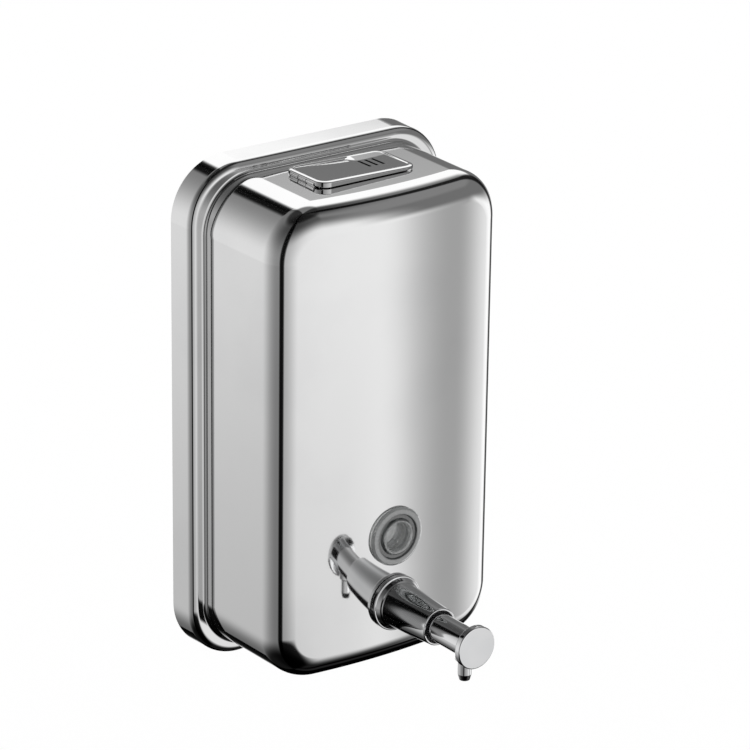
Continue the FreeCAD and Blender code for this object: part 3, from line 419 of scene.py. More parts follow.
def slerp(start: np.ndarray, end: np.ndarray, share: np.ndarray) -> np.ndarray:
    """Unit vectors that turn evenly from start to end: the two weighted by sines."""
    angle = np.arccos(np.clip((start * end).sum(axis=-1, keepdims=True), -1, 1))
    return (np.sin((1 - share) * angle) * start + np.sin(share * angle) * end) / np.sin(angle)


# ---------------------------------------------------------------- tank
def crowned(x: np.ndarray, z: np.ndarray, depth: float,
            radius: float) -> Arrays:
    """Points and normals on a bulged upright panel, an arc about an upright axis.

    Args:
        x: Places across.
        z: Places up.
        depth: The panel's middle, out from the wall.
        radius: The arc's radius.

    Returns:
        The points and the normals.
    """
    lean = x / radius
    fore = np.sqrt(1 - lean ** 2)
    points = np.stack([x, radius * (1 - fore) - depth, z], axis=-1)
    return points, np.stack([lean, -fore, 0 * z], axis=-1)


@dataclass(frozen=True)
class TankShell:
    """The drawn front shell: a rear pan with a flange, and the tank that stands out from it."""

    pan_width: float = 120.0
    pan_height: float = 205.0
    pan_corner: float = 23.5
    pan_depth: float = 12.8
    flare: float = math.radians(2.0)
    shoulder: float = 3.28
    cove: float = 1.5
    tank_width: float = 107.0
    tank_height: float = 194.4
    tank_corner: float = 21.2
    draft: float = math.radians(0.6)
    crown: float = 256.0
    front_edge: float = 10.8
    gauge: float = 0.8
    filler_hole: Triple = (38.0, 17.0, 3.2)
    sight_hole: float = 8.0
    valve_hole: float = 8.3
    lock_hole: float = 2.3
    lock_patch: float = 4.6
    corner_steps: int = 24
    below_parting: int = 9
    above_parting: int = 40
    top_stations: int = 27
    beside_lock: int = 12
    over_lock: int = 9
    side_rows: int = 7
    shoulder_rows: int = 11
    cove_rows: int = 9
    ledge_rows: int = 4
    wall_rows: int = 16
    edge_rows: int = 25
    lock_rows: int = 5
    filler_rows: int = 9
    panel_rows: int = 29
    seam_points: int = 33
    edge_passes: int = 4

    def front(self) -> float:
        """How far the middle of the front panel is out from the wall."""
        return -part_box("front_shell")[0].y / MM

    def parting(self) -> float:
        """The height half way between the sight glass and the valve."""
        return (middle_of("sight_glass")[2] + middle_of("valve_barrel")[2]) / 2

    def track(self) -> Track:
        """The stations round the shell, with one at each hole's block edge."""
        split = self.parting() / (self.tank_height / 2 - self.tank_corner)
        lock = self.lock_patch / (self.pan_width / 2 - self.pan_corner)
        right = np.concatenate([
            np.linspace(-1, split, self.below_parting),
            np.linspace(split, 1, self.above_parting)[1:],
        ])
        low = np.concatenate([
            np.linspace(-1, -lock, self.beside_lock),
            np.linspace(-lock, lock, self.over_lock)[1:-1],
            np.linspace(lock, 1, self.beside_lock),
        ])
        top = np.linspace(-1, 1, self.top_stations)
        return Track((right, top, -right[::-1], low), self.corner_steps)

    def ring(self, outset: np.ndarray, depth: np.ndarray, pan: bool) -> np.ndarray:
        """Outlines about the pan's or the tank's own, moved outwards, at their depths.

        Args:
            outset: A column of distances outwards.
            depth: A column of depths.
            pan: True for the pan's outline and False for the tank's.

        Returns:
            The points, rows by stations by three.
        """
        sizes = (
            (self.pan_width, self.pan_height, self.pan_corner) if pan
            else (self.tank_width, self.tank_height, self.tank_corner)
        )
        x, z = loops(self.track(), sizes[0] + 2 * outset, sizes[1] + 2 * outset, sizes[2] + outset)
        return np.stack([x, -depth + 0 * x, z], axis=-1)

    def front_edge_rows(self, wall: np.ndarray, share: np.ndarray) -> Arrays:
        """The rounding between wall and front panel, as a ball that rolls inside both leaves it.

        The ball's centre is one radius in from the wall and on the arc one radius behind the
        panel. The surface is the centre plus the radius along a normal that turns from the wall's
        to the panel's.

        Args:
            wall: The wall's normals at the stations.
            share: A column of shares of the turn, from 0 to 1.

        Returns:
            The points and the normals, rows by stations by three.
        """
        radius, inner = self.front_edge, self.crown - self.front_edge
        depth = self.front() - radius
        for _ in range(self.edge_passes):
            inset = math.tan(self.draft) * (depth - self.pan_depth) + radius / math.cos(self.draft)
            x, z = loops(self.track(), self.tank_width - 2 * inset, self.tank_height - 2 * inset,
                         self.tank_corner - inset)
            depth = self.front() - self.crown + np.sqrt(inner ** 2 - x ** 2)
        panel = np.stack([x / inner, -np.sqrt(1 - (x / inner) ** 2), 0 * x], axis=-1)
        normals = slerp(wall, panel, share[:, None, None])
        return np.stack([x, -depth, z], axis=-1) + radius * normals, normals

    def walls(self) -> tuple[Skin, np.ndarray]:
        """Everything round the front panel, less the blocks that hold a hole.

        Returns:
            The skin and the outline of the front panel.
        """
        _, outward = self.track().stations()
        flat = np.stack([outward[:, 0], 0 * outward[:, 0], outward[:, 1]], axis=-1)
        wall = math.cos(self.draft) * flat + math.sin(self.draft) * OUT
        level = self.pan_depth - self.shoulder * (1 - math.sin(self.flare))
        turn = np.linspace(self.flare, np.pi / 2, self.shoulder_rows)[:, None]
        fall = np.linspace(np.pi / 2, self.draft, self.cove_rows)[:, None]
        depth = np.linspace(0, level, self.side_rows)[:, None]
        side = self.ring(-math.tan(self.flare) * depth, depth, pan=True)
        inset = math.tan(self.flare) * level + self.shoulder * math.cos(self.flare)
        shoulder = self.ring(self.shoulder * np.cos(turn) - inset,
                             self.pan_depth - self.shoulder * (1 - np.sin(turn)), pan=True)
        shoulder[0] = side[-1]
        middle = self.cove / math.cos(self.draft) - self.cove * math.tan(self.draft)
        cove = self.ring(middle - self.cove * np.cos(fall),
                         self.pan_depth + self.cove * (1 - np.sin(fall)), pan=False)
        edge, turned_edge = self.front_edge_rows(wall, np.linspace(0, 1, self.edge_rows))
        run = np.linspace(0, 1, self.wall_rows)[:, None, None]
        straight = cove[-1] + (edge[0] - cove[-1]) * run
        over = np.linspace(0, 1, self.ledge_rows)[:, None, None]
        ledge = shoulder[-1] + (cove[0] - shoulder[-1]) * over

        def tilted(angle: np.ndarray) -> np.ndarray:
            """Normals that lean from the side towards the front by the angle."""
            return np.cos(angle)[..., None] * flat + np.sin(angle)[..., None] * OUT

        bottom, top = self.track().side(3), self.track().side(1)
        first = bottom.start + self.beside_lock - 1
        lock = slice(first, first + self.over_lock)
        kept_side = np.ones((len(side) - 1, side.shape[1]), bool)
        kept_side[:, lock.start:lock.stop - 1] = False
        kept_wall = np.ones((len(straight) - 1, side.shape[1]), bool)
        kept_wall[:, top.start:top.stop - 1] = False
        skins = [
            grid(side, math.cos(self.flare) * flat + math.sin(self.flare) * OUT, True, kept_side),
            grid(shoulder, tilted(turn), True),
            grid(ledge, OUT, True),
            grid(cove, tilted(fall), True),
            grid(straight, wall, True, kept_wall),
            grid(edge, turned_edge, True),
            self.lock_block(block_edge(side, slice(None), lock)),
            self.filler_block(block_edge(straight, slice(None), top), wall[top.start]),
        ]
        return joined(*skins), edge[-1]

    def lock_block(self, edge: np.ndarray) -> Skin:
        """The pan's lower wall about the locking screw's hole."""
        middle = np.array([0, middle_of("lock_screw")[1], edge[0, 2]])
        hole = middle + self.lock_hole * unit(edge - middle)
        return grid(fan(edge, hole, self.lock_rows), -UP, True)

    def filler_block(self, edge: np.ndarray, normal: np.ndarray) -> Skin:
        """The tank's top about the filler hole, which should lie in the wall's plane.

        Known fault: the rise has the wrong sign, so the hole's edge stands up to 0.4 mm above that
        plane, while the normals are the plane's. Taking the rise away instead would mend it.

        Args:
            edge: The block's outline.
            normal: The wall's normal there.

        Returns:
            The skin.
        """
        y = middle_of("lid")[1]
        rise = (y - edge[0, 1]) * normal[1] / normal[2]
        centre = np.array([0, y, edge[0, 2] + rise])
        away = unit((edge - centre)[:, :2])
        spots = away * reach(away, *self.filler_hole)[:, None]
        drop = spots[:, 1] * normal[1] / normal[2]
        hole = centre + np.stack([spots[:, 0], spots[:, 1], -drop], axis=-1)
        return grid(fan(edge, hole, self.filler_rows), normal, True)

    def panel(self, outline: np.ndarray) -> Skin:
        """The front panel: a fan about each of its two holes, which meet at the parting height."""
        cut = self.parting()
        right, left = self.track().side(0), self.track().side(2)
        start, end = right.start + self.below_parting - 1, left.stop - self.below_parting
        across = np.linspace(outline[end, 0], outline[start, 0], self.seam_points)[1:-1]
        seam = np.stack([across, np.full_like(across, cut)], axis=-1)
        flat = outline[:, [0, 2]]
        upper = np.concatenate([flat[start:end + 1], seam])
        lower = np.concatenate([flat[end:], flat[:start + 1], seam[::-1]])
        skins = []
        for edge, node, hole in ((upper, "sight_glass", self.sight_hole),
                                 (lower, "valve_barrel", self.valve_hole)):
            middle = np.array([0, middle_of(node)[2]])
            rows = fan(edge, middle + hole * unit(edge - middle), self.panel_rows)
            skins.append(grid(*crowned(rows[..., 0], rows[..., 1], self.front(), self.crown), True))
        return joined(*skins)

    def build(self) -> bpy.types.Object:
        """The shell as one closed sheet, in place of its CAD node."""
        walls, outline = self.walls()
        piece = make("tank_shell", joined(walls, self.panel(outline)).walled(self.gauge))
        return settle(piece, "dispenser", Slot.POLISHED, "front_shell")


# ---------------------------------------------------------------- lid
@dataclass(frozen=True)
class FillerLid:
    """The pressed lid: a tilted plate with rolled edges, a crease and three key slots."""

    length: float = 45.6
    width: float = 24.5
    corner: float = 5.0
    roll: Pair = (1.5, 0.6)
    rim: float = 1.7
    gauge: float = 0.4
    lift: float = 0.4
    tilt: float = 0.024
    sink: float = 0.08
    lean: float = 0.012
    slope: float = 0.07
    rise: float = 0.045
    bright_start: float = 3.5
    crease_centre: Pair = (9.0, 75.0)
    crease_radius: float = 70.0
    slots: Triple = (6.4, 9.6, 12.8)
    slot_half: Pair = (0.6, 4.0)
    skirt_low: float = 1.7
    draft: float = 0.0105
    hinge_low: float = 1.5
    over_knuckles: float = 0.3
    knuckle: float = 0.85
    pin: float = 0.5
    knuckle_length: float = 4.7
    knuckle_side: float = 8.2
    hinge_end: float = 1.6
    inner_step: float = 0.7
    bright_run: float = 3.0
    probe: float = 0.02
    corner_steps: int = 14
    column: float = 0.8
    strap_drop: float = 0.3
    strap_lap: float = 0.2

    def centre(self) -> np.ndarray:
        """The middle of the lid's top."""
        _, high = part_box("lid")
        return np.array([high.x / MM - self.length / 2, middle_of("lid")[1], high.z / MM])

    def lifted(self, x: np.ndarray) -> np.ndarray:
        """How high the tilted rim is: highest at the hinge."""
        return self.lift - self.tilt * (x + self.length / 2)

    def level(self, x: np.ndarray, y: np.ndarray) -> np.ndarray:
        """How high the lid's top is.

        The panel is sunk within the rim and leans a little towards the wall. Behind the crease,
        an arc of a circle, it falls away with an even slope, and by the key slots it rises.
        """
        behind = self.crease_radius - np.hypot(x - self.crease_centre[0], y - self.crease_centre[1])
        behind = np.maximum(behind, 0)
        share = np.clip((x - self.bright_start) / self.bright_run, 0, 1)
        by_slots = share * share * (3 - 2 * share)
        panel = -self.sink - self.lean * (y + self.width / 2)
        panel = panel - behind * (self.slope * (1 - by_slots) - self.rise * by_slots)
        away = np.abs(np.stack([x, y], axis=-1))
        away = away - np.array([self.length, self.width]) / 2 + self.corner
        inset = self.corner - np.linalg.norm(np.maximum(away, 0), axis=-1)
        inset = inset - np.minimum(away.max(axis=-1), 0)
        share = np.clip((inset - self.rim) / self.inner_step, 0, 1)
        return self.lifted(x) + panel * share * share * (3 - 2 * share)

    def lower_edge(self, x: np.ndarray, y: np.ndarray) -> np.ndarray:
        """The skirt's lower edge. At the hinge it is cut short, and shorter over the knuckles."""
        at_hinge = np.where(np.abs(y) < self.knuckle_side, self.over_knuckles, self.hinge_low)
        low = self.skirt_low - self.draft * y
        return -np.where(x < -self.length / 2 + self.hinge_end, at_hinge, low)

    def top(self, x: np.ndarray, y: np.ndarray) -> Arrays:
        """The top's points, and its normals from the level's slope measured over a short step."""
        step = self.probe
        rise_x = (self.level(x + step, y) - self.level(x - step, y)) / (2 * step)
        rise_y = (self.level(x, y + step) - self.level(x, y - step)) / (2 * step)
        points = np.stack([x, y, self.level(x, y)], axis=-1)
        return points, unit(np.stack([-rise_x, -rise_y, np.ones_like(x)], axis=-1))

    def skin(self) -> Skin:
        """The lid's outer face: skirt, rolled edge, ring and the middle block with its slots."""
        half_x, half_y = self.length / 2 - self.corner, self.width / 2 - self.corner
        cuts = [slot + side * self.slot_half[0] for slot in self.slots for side in (-1, 1)]
        stops = [-half_x, *cuts, half_x]
        across = np.concatenate([
            np.linspace(start, end, max(2, round((end - start) / self.column) + 1))[:-1]
            for start, end in zip(stops, stops[1:])
        ] + [[half_x]])
        up = np.concatenate([
            np.linspace(-half_y, -self.slot_half[1], 6)[:-1],
            np.linspace(-self.slot_half[1], self.slot_half[1], 16),
            np.linspace(self.slot_half[1], half_y, 10)[1:],
        ])
        sides = (up / half_y, -across[::-1] / half_x, -up[::-1] / half_y, across / half_x)
        track = Track(sides, self.corner_steps)
        _, outward = track.stations()
        lateral = np.concatenate([outward, np.zeros((len(outward), 1))], axis=1)

        def outline(inset: np.ndarray) -> Arrays:
            """The lid's outline moved inwards."""
            return loops(track, self.length - 2 * inset, self.width - 2 * inset,
                         self.corner - inset)

        wide, tall = self.roll
        turn = np.concatenate([[0], np.linspace(0, np.pi / 2, 11)])[:, None]
        x, y = outline(wide * (1 - np.cos(turn)))
        height = self.lifted(x) + tall * (np.sin(turn) - 1)
        height[0] = self.lower_edge(x[0], y[0])
        edge = np.stack([x, y, height], axis=-1)
        turn, inside = turn[..., None], self.rim + self.inner_step
        edge_normals = unit(np.cos(turn) / wide * lateral + np.sin(turn) / tall * UP)
        inset = np.concatenate([
            np.linspace(wide, self.rim, 3), np.linspace(self.rim, inside, 9)[1:],
            np.linspace(inside, self.corner, 6)[1:],
        ])[:, None]
        kept = np.ones((len(up) - 1, len(across) - 1), bool)
        in_slot = np.abs(up[:-1] + np.diff(up) / 2) < self.slot_half[1]
        middle = across[:-1] + np.diff(across) / 2
        over = np.abs(middle[:, None] - np.array(self.slots)).min(axis=1) < self.slot_half[0]
        kept[np.ix_(in_slot, over)] = False
        block = np.meshgrid(across, up)
        skins = [
            grid(edge, edge_normals, True),
            grid(*self.top(*outline(inset)), True),
            grid(*self.top(*block), False, kept),
        ]
        return joined(*skins)

    def build(self) -> list[bpy.types.Object]:
        """The lid and its hinge knuckle, in place of the lid's CAD node."""
        skin = self.skin().walled(self.gauge)
        moved = Skin(skin.points + self.centre(), skin.normals, skin.faces)
        pin = middle_of("hinge_pin")
        pin[1] = self.centre()[1]
        half = self.knuckle_length / 2
        barrel = turned((
            (self.pin, -half, 0.1), (self.knuckle, -half, 0.2), (self.knuckle, half, 0.2),
            (self.pin, half, 0.1),
        ), tuple(pin), OUT, segments=40)
        roof = self.centre()[2] + self.lift - self.strap_drop
        left, right = pin[0] - self.strap_lap, pin[0] + self.knuckle
        strap = prism((
            (left, pin[2] + self.pin, 0.1), (right, pin[2] - self.strap_lap, 0.1),
            (right, roof, 0.1), (left, roof, 0.1),
        ), pin[1] - half, pin[1] + half)
        pieces = [make("lid_top", moved), make("lid_knuckle", joined(barrel, strap))]
        return [
            settle(piece, "lid_set", Slot.POLISHED, node)
            for piece, node in zip(pieces, ("lid", None))
        ]


def prism(corners: Outline, start: float, end: float) -> Skin:
    """A bar along Y with an outline in x and z, and flat ends fanned from the outline's middle."""
    profile, slope = rounded(corners)
    profile, slope = np.concatenate([profile, profile[:1]]), np.concatenate([slope, slope[:1]])
    middle = profile[:-1].mean(axis=0)

    def at(pairs: np.ndarray, y: float) -> np.ndarray:
        """Outline points placed at one y."""
        return np.stack([pairs[:, 0], np.full(len(pairs), y), pairs[:, 1]], axis=-1)

    sides = grid(np.stack([at(profile, start), at(profile, end)]), at(slope, 0.0))
    ends = [
        grid(np.stack([at(profile, y), at(np.broadcast_to(middle, profile.shape), y)]), normal)
        for y, normal in ((start, OUT), (end, -OUT))
    ]
    return joined(sides, *ends)


# ---------------------------------------------------------------- sight glass and valve
def axis_of(node: str) -> Triple:
    """The point on the wall's face that a node's axis, along Y, starts from."""
    middle = middle_of(node)
    return (middle[0], 0.0, middle[2])


@dataclass(frozen=True)
class SightGlass:
    """The clear plug that shows the liquid's level. Outline: radius, depth, rounding."""

    outline: Outline = (
        (0.0, 62.0, 0.0), (5.5, 62.0, 0.4), (5.9, 66.5, 0.15), (6.3, 66.8, 0.15), (6.8, 66.8, 0.2),
        (7.3, 66.4, 0.15), (7.5, 65.6, 0.15), (8.9, 65.6, 0.15), (9.2, 66.4, 0.2),
        (11.2, 66.4, 0.35), (12.0, 65.7, 0.3), (12.0, 65.0, 0.1), (7.6, 65.0, 0.05),
        (7.6, 55.6, 0.1), (5.0, 55.6, 0.1), (5.0, 59.6, 0.2), (0.0, 59.6, 0.0),
    )

    def build(self) -> bpy.types.Object:
        """The plug, in place of its CAD node."""
        skin = turned(self.outline, axis_of("sight_glass"), closed=False)
        return settle(make("sight_plug", skin), "dispenser", Slot.CLEAR, "sight_glass")


@dataclass(frozen=True)
class Valve:
    """The push valve: the barrel on the tank, and the plunger, head and nozzle that move in it."""

    barrel: Outline = (
        (6.2, 51.5, 0.0), (8.0, 51.5, 0.2), (8.0, 65.0, 0.05), (11.3, 65.0, 0.12),
        (11.3, 66.8, 0.45), (10.5, 66.9, 0.3), (9.75, 68.4, 0.5), (9.12, 69.0, 0.7),
        (7.6, 93.6, 0.45), (6.72, 93.6, 0.18), (6.7, 83.0, 0.0), (6.2, 83.0, 0.0),
    )
    plunger: Outline = (
        (3.0, 83.0, 0.0), (5.75, 83.0, 0.3), (5.75, 114.15, 0.0), (2.5, 114.15, 0.0),
        (2.5, 112.0, 0.0), (1.5, 112.0, 0.0), (1.5, 90.0, 0.0), (3.0, 90.0, 0.0),
    )
    head: Outline = (
        (0.0, 112.05, 0.0), (2.45, 112.05, 0.0), (2.45, 114.1, 0.0), (8.65, 114.1, 0.5),
        (8.65, 116.9, 0.5), (0.0, 116.9, 0.0),
    )
    nozzle: Outline = (
        (1.3, 3.2, 0.0), (2.2, 3.2, 0.0), (2.2, 4.6, 0.0), (3.9, 4.6, 0.2), (3.9, 7.2, 0.35),
        (2.75, 7.75, 0.3), (2.75, 13.2, 0.6), (2.1, 15.7, 0.25), (1.7, 15.7, 0.1),
        (1.7, 11.7, 0.0), (1.3, 11.7, 0.0),
    )

    def build(self) -> list[bpy.types.Object]:
        """The four plated pieces, each in place of its CAD node."""
        start = axis_of("valve_barrel")
        spout = (start[0], middle_of("nozzle")[1], start[2])
        parts = (
            ("valve_sleeve", "valve_barrel", "dispenser", turned(self.barrel, start)),
            ("plunger_tube", "plunger", "plunger_set", turned(self.plunger, start)),
            ("push_button", "push_head", "plunger_set",
             turned(self.head, start, closed=False)),
            ("spout", "nozzle", "plunger_set", turned(self.nozzle, spout, -UP, segments=72)),
        )
        return [
            settle(make(name, skin), body, Slot.PLATED, node) for name, node, body, skin in parts
        ]


@dataclass(frozen=True)
class Spring:
    """A compression spring whose wire follows a helix.

    Args:
        node: The CAD node that it stands for, which gives its place and length.
        body: The body that it rides on.
        joint: The joint that it would shorten with; not used.
        axis: Its axis, from the fixed end to the moving one.
        coil: The coil's radius, to the middle of the wire.
        wire: The wire's radius.
        turns: How many turns it has.
        travel: How much shorter it would be at the joint's limit; not used.
        steps: Rings a turn.
        sides: Points round the wire.
    """

    node: str
    body: str
    joint: str
    axis: Triple
    coil: float
    wire: float
    turns: int
    travel: float
    steps: int = 20
    sides: int = 10

    def build(self) -> bpy.types.Object:
        """The wire: a ring about the helix in the plane of its radial and upward directions."""
        low, high = (np.array(corner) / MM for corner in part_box(self.node))
        axis = np.array(self.axis)
        middle, span = (low + high) / 2, float(np.abs((high - low) @ axis))
        anchor = middle - axis * span / 2
        across = unit(np.cross(axis, ASKEW))
        beside = np.cross(axis, across)
        share = np.linspace(0, 1, self.turns * self.steps + 1)[:, None]
        angle = 2 * np.pi * self.turns * share
        radial = across * np.cos(angle) + beside * np.sin(angle)
        path = anchor + radial * self.coil + axis * (self.wire + share * (span - 2 * self.wire))
        around = np.linspace(0, 2 * np.pi, self.sides, endpoint=False)[:, None]
        normals = radial[:, None] * np.cos(around) + axis * np.sin(around)
        tube = grid(path[:, None] + self.wire * normals, normals, True)
        heading = unit(np.cross(axis, radial[[0, -1]]))
        caps = [
            grid(np.stack([path[end] + self.wire * normals[end],
                           np.broadcast_to(path[end], normals[end].shape)]),
                 heading[end] * facing, True)
            for end, facing in ((0, -1), (-1, 1))
        ]
        piece = make(self.node + "_coil", joined(tube, *caps))
        settle(piece, self.body, Slot.PLAIN, self.node)
        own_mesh(piece)
        return piece


# ---------------------------------------------------------------- shader nodes
class Wire:
    """A socket whose Python arithmetic adds Math nodes."""

    def __init__(self, shader: "Shader", socket: bpy.types.NodeSocket) -> None:
        """Keep the shader and the socket."""
        self.shader = shader
        self.socket = socket

    def _math(self, operation: str, *values: "Wire | float") -> "Wire":
        """A Math node on these values."""
        inputs = dict(enumerate(values))
        return self.shader.wire("ShaderNodeMath", {"operation": operation}, inputs)

    def __add__(self, other: "Wire | float") -> "Wire":
        """Sum."""
        return self._math("ADD", self, other)

    __radd__ = __add__

    def __mul__(self, other: "Wire | float") -> "Wire":
        """Product."""
        return self._math("MULTIPLY", self, other)

    __rmul__ = __mul__

    def __sub__(self, other: "Wire | float") -> "Wire":
        """Difference."""
        return self._math("SUBTRACT", self, other)

    def __rsub__(self, other: "Wire | float") -> "Wire":
        """Difference, the other way round."""
        return self._math("SUBTRACT", other, self)

    def __truediv__(self, other: "Wire | float") -> "Wire":
        """Quotient."""
        return self._math("DIVIDE", self, other)

    def power(self, other: float) -> "Wire":
        """This value to a power."""
        return self._math("POWER", self, other)

    def towards(self, other: "Wire | float", share: "Wire | float") -> "Wire":
        """This value moved towards another by a share of the way."""
        return self + (other - self) * share

    def largest(self, other: "Wire | float") -> "Wire":
        """The larger of two values."""
        return self._math("MAXIMUM", self, other)

    def size(self) -> "Wire":
        """The value without its sign."""
        return self._math("ABSOLUTE", self)

    def between(self, low: float, high: float) -> "Wire":
        """A smooth step: 0 at low, 1 at high. High may be below low."""
        settings = {"interpolation_type": "SMOOTHSTEP"}
        if low > high:
            return 1 - self.between(high, low)
        inputs = {"Value": self, "From Min": low, "From Max": high}
        return self.shader.wire("ShaderNodeMapRange", settings, inputs)

    def bump(self, centre: float, half: float, soft: float) -> "Wire":
        """1 within half of the centre, falling smoothly to 0 over the soft distance beyond."""
        return (self - centre).size().between(half + soft, half)


class Shader:
    """The nodes of a material or a world."""

    def __init__(self, tree: bpy.types.NodeTree) -> None:
        """Start from an empty tree."""
        self.tree = tree
        tree.nodes.clear()

    def node(self, kind: str, settings: dict, inputs: dict) -> bpy.types.Node:
        """Add a node.

        Args:
            kind: The node's type.
            settings: Its properties, which are set first.
            inputs: Its sockets' values or wires, by name or number.

        Returns:
            The node.
        """
        node = self.tree.nodes.new(kind)
        for name, value in settings.items():
            setattr(node, name, value)
        for name, value in inputs.items():
            if isinstance(value, Wire):
                self.tree.links.new(value.socket, node.inputs[name])
            else:
                node.inputs[name].default_value = value
        return node

    def wire(self, kind: str, settings: dict, inputs: dict, output: int | str = 0) -> Wire:
        """Add a node and return one of its outputs."""
        return Wire(self, self.node(kind, settings, inputs).outputs[output])

    def place(self, scale: Triple = (1, 1, 1)) -> Wire:
        """The piece's own Object coordinates, stretched."""
        here = self.wire("ShaderNodeTexCoord", {}, {}, "Object")
        return self.wire("ShaderNodeMapping", {}, {"Vector": here, "Scale": scale})

    def noise(self, place: Wire, scale: float, detail: float = 2.0) -> Wire:
        """Smooth noise, about 0.5."""
        return self.wire("ShaderNodeTexNoise", {}, {"Vector": place, "Scale": scale,
                                                    "Detail": detail})

    def grey(self, factor: Wire, dark: tuple, light: tuple) -> Wire:
        """A colour between two."""
        settings = {"data_type": "RGBA"}
        inputs = {"Factor": factor, 6: (*dark, 1), 7: (*light, 1)}
        return self.wire("ShaderNodeMix", settings, inputs, 2)

    def raised(self, height: Wire, distance: float, strength: float = 1.0) -> Wire:
        """A normal for a surface with this relief."""
        return self.wire("ShaderNodeBump", {}, {"Height": height, "Distance": distance,
                                                "Strength": strength})


def principled(name: str, dress: Callable[[Shader], dict]) -> bpy.types.Material:
    """A material with one Principled shader.

    Args:
        name: The material's name.
        dress: A function that takes the Shader and returns the Principled node's inputs.

    Returns:
        The material.
    """
    material = bpy.data.materials.new(name)
    material.use_nodes = True
    shader = Shader(material.node_tree)
    surface = shader.wire("ShaderNodeBsdfPrincipled", {}, dress(shader))
    shader.node("ShaderNodeOutputMaterial", {}, {"Surface": surface})
    return material


# ---------------------------------------------------------------- finishes
@dataclass(frozen=True)
class MirrorMetal:
    """Polished or plated metal, with a faint haze, wiped streaks and a slow waviness.

    Args:
        dark: The tint where the haze lies.
        light: The tint where it is clean.
        rough: Roughness where it is clean.
        haze: How much rougher the haze makes it.
        wave: Depth of the waviness, metres.
    """

    dark: Triple
    light: Triple
    rough: float
    haze: float
    wave: float

    def inputs(self, shader: Shader) -> dict:
        """Haze from broad noise, streaks from noise drawn out upwards, waviness from slow noise."""
        place = shader.place()
        cloud = shader.noise(place, 28, 3).between(0.42, 0.72)
        streak = shader.noise(shader.place((1, 1, 0.06)), 900, 2).between(0.5, 0.8)
        wave = shader.noise(place, 22, 1)
        return {
            "Metallic": 1.0,
            "Base Color": shader.grey(cloud, self.light, self.dark),
            "Roughness": self.rough + self.haze * cloud + self.haze * 0.4 * streak,
            "Normal": shader.raised(wave, self.wave),
        }


@dataclass(frozen=True)
class SatinMetal:
    """Mill finished or turned metal with a fine grain.

    Args:
        dark: The darker tint of the grain.
        light: The lighter tint.
        rough: Its mean roughness.
        grain: The stretch of the grain along x, y and z.
    """

    dark: Triple
    light: Triple
    rough: float
    grain: Triple

    def inputs(self, shader: Shader) -> dict:
        """Tint, roughness and relief all follow one drawn-out noise, over slow blotches."""
        fine = shader.noise(shader.place(self.grain), 1400, 3)
        blotch = shader.noise(shader.place(), 35, 3)
        mixed = fine * 0.7 + blotch * 0.3
        return {
            "Metallic": 1.0,
            "Base Color": shader.grey(mixed.between(0.3, 0.7), self.dark, self.light),
            "Roughness": self.rough + 0.12 * (mixed - 0.5),
            "Normal": shader.raised(fine, 0.00003, 0.6),
        }


@dataclass(frozen=True)
class Moulded:
    """Rubber or plastic with a fine moulded texture.

    Args:
        dark: The darker tint.
        light: The lighter tint.
        rough: Its roughness.
        pebble: Depth of the texture, metres.
        size: How fine the texture is.
    """

    dark: Triple
    light: Triple
    rough: float
    pebble: float
    size: float = 2500.0

    def inputs(self, shader: Shader) -> dict:
        """Pebbles from fine noise, with a slow change of tint and roughness."""
        place = shader.place()
        pebble = shader.noise(place, self.size, 2)
        slow = shader.noise(place, 60, 2)
        return {
            "Base Color": shader.grey(slow, self.dark, self.light),
            "Roughness": self.rough + 0.12 * (slow - 0.5),
            "Normal": shader.raised(pebble, self.pebble),
        }


@dataclass(frozen=True)
class ClearPlug:
    """Clear moulded plastic: it passes light, has a faint flow and painted shade in its groove.

    Args:
        tint: Its tint.
        groove_shade: Painted shade: the dark tint laid over the groove.
        groove_shade_at: The shade ring's radius, half of its width and the soft edge, millimetres.
        rough: Its least roughness.
        clear: How much light it passes.
    """

    tint: Triple = (0.93, 0.95, 0.95)
    groove_shade: Triple = (0.1, 0.11, 0.11)
    groove_shade_at: Triple = (8.1, 0.7, 1.3)
    rough: float = 0.03
    clear: float = 0.8

    def inputs(self, shader: Shader) -> dict:
        """Transmission, a ring of painted shade about the plug's axis, and a slow waviness."""
        place = shader.place()
        flow = shader.noise(place, 260, 2)
        split = shader.node("ShaderNodeSeparateXYZ", {}, {"Vector": place})
        x, z = (Wire(shader, split.outputs[axis]) / MM for axis in "XZ")
        centre = axis_of("sight_glass")
        x, z = x - centre[0], z - centre[2]
        radius = shader.wire("ShaderNodeMath", {"operation": "SQRT"}, {0: x * x + z * z})
        return {
            # Painted shade: the tint darkens in a ring over the groove, by the distance from the
            # axis.
            "Base Color": shader.grey(radius.bump(*self.groove_shade_at), self.tint, self.groove_shade),
            "Roughness": self.rough + 0.05 * flow,
            "Transmission Weight": self.clear,
            "IOR": 1.49,
            "Coat Weight": 1.0,
            "Coat IOR": 2.2,
            "Coat Roughness": 0.02,
            "Normal": shader.raised(flow, 0.00002),
        }


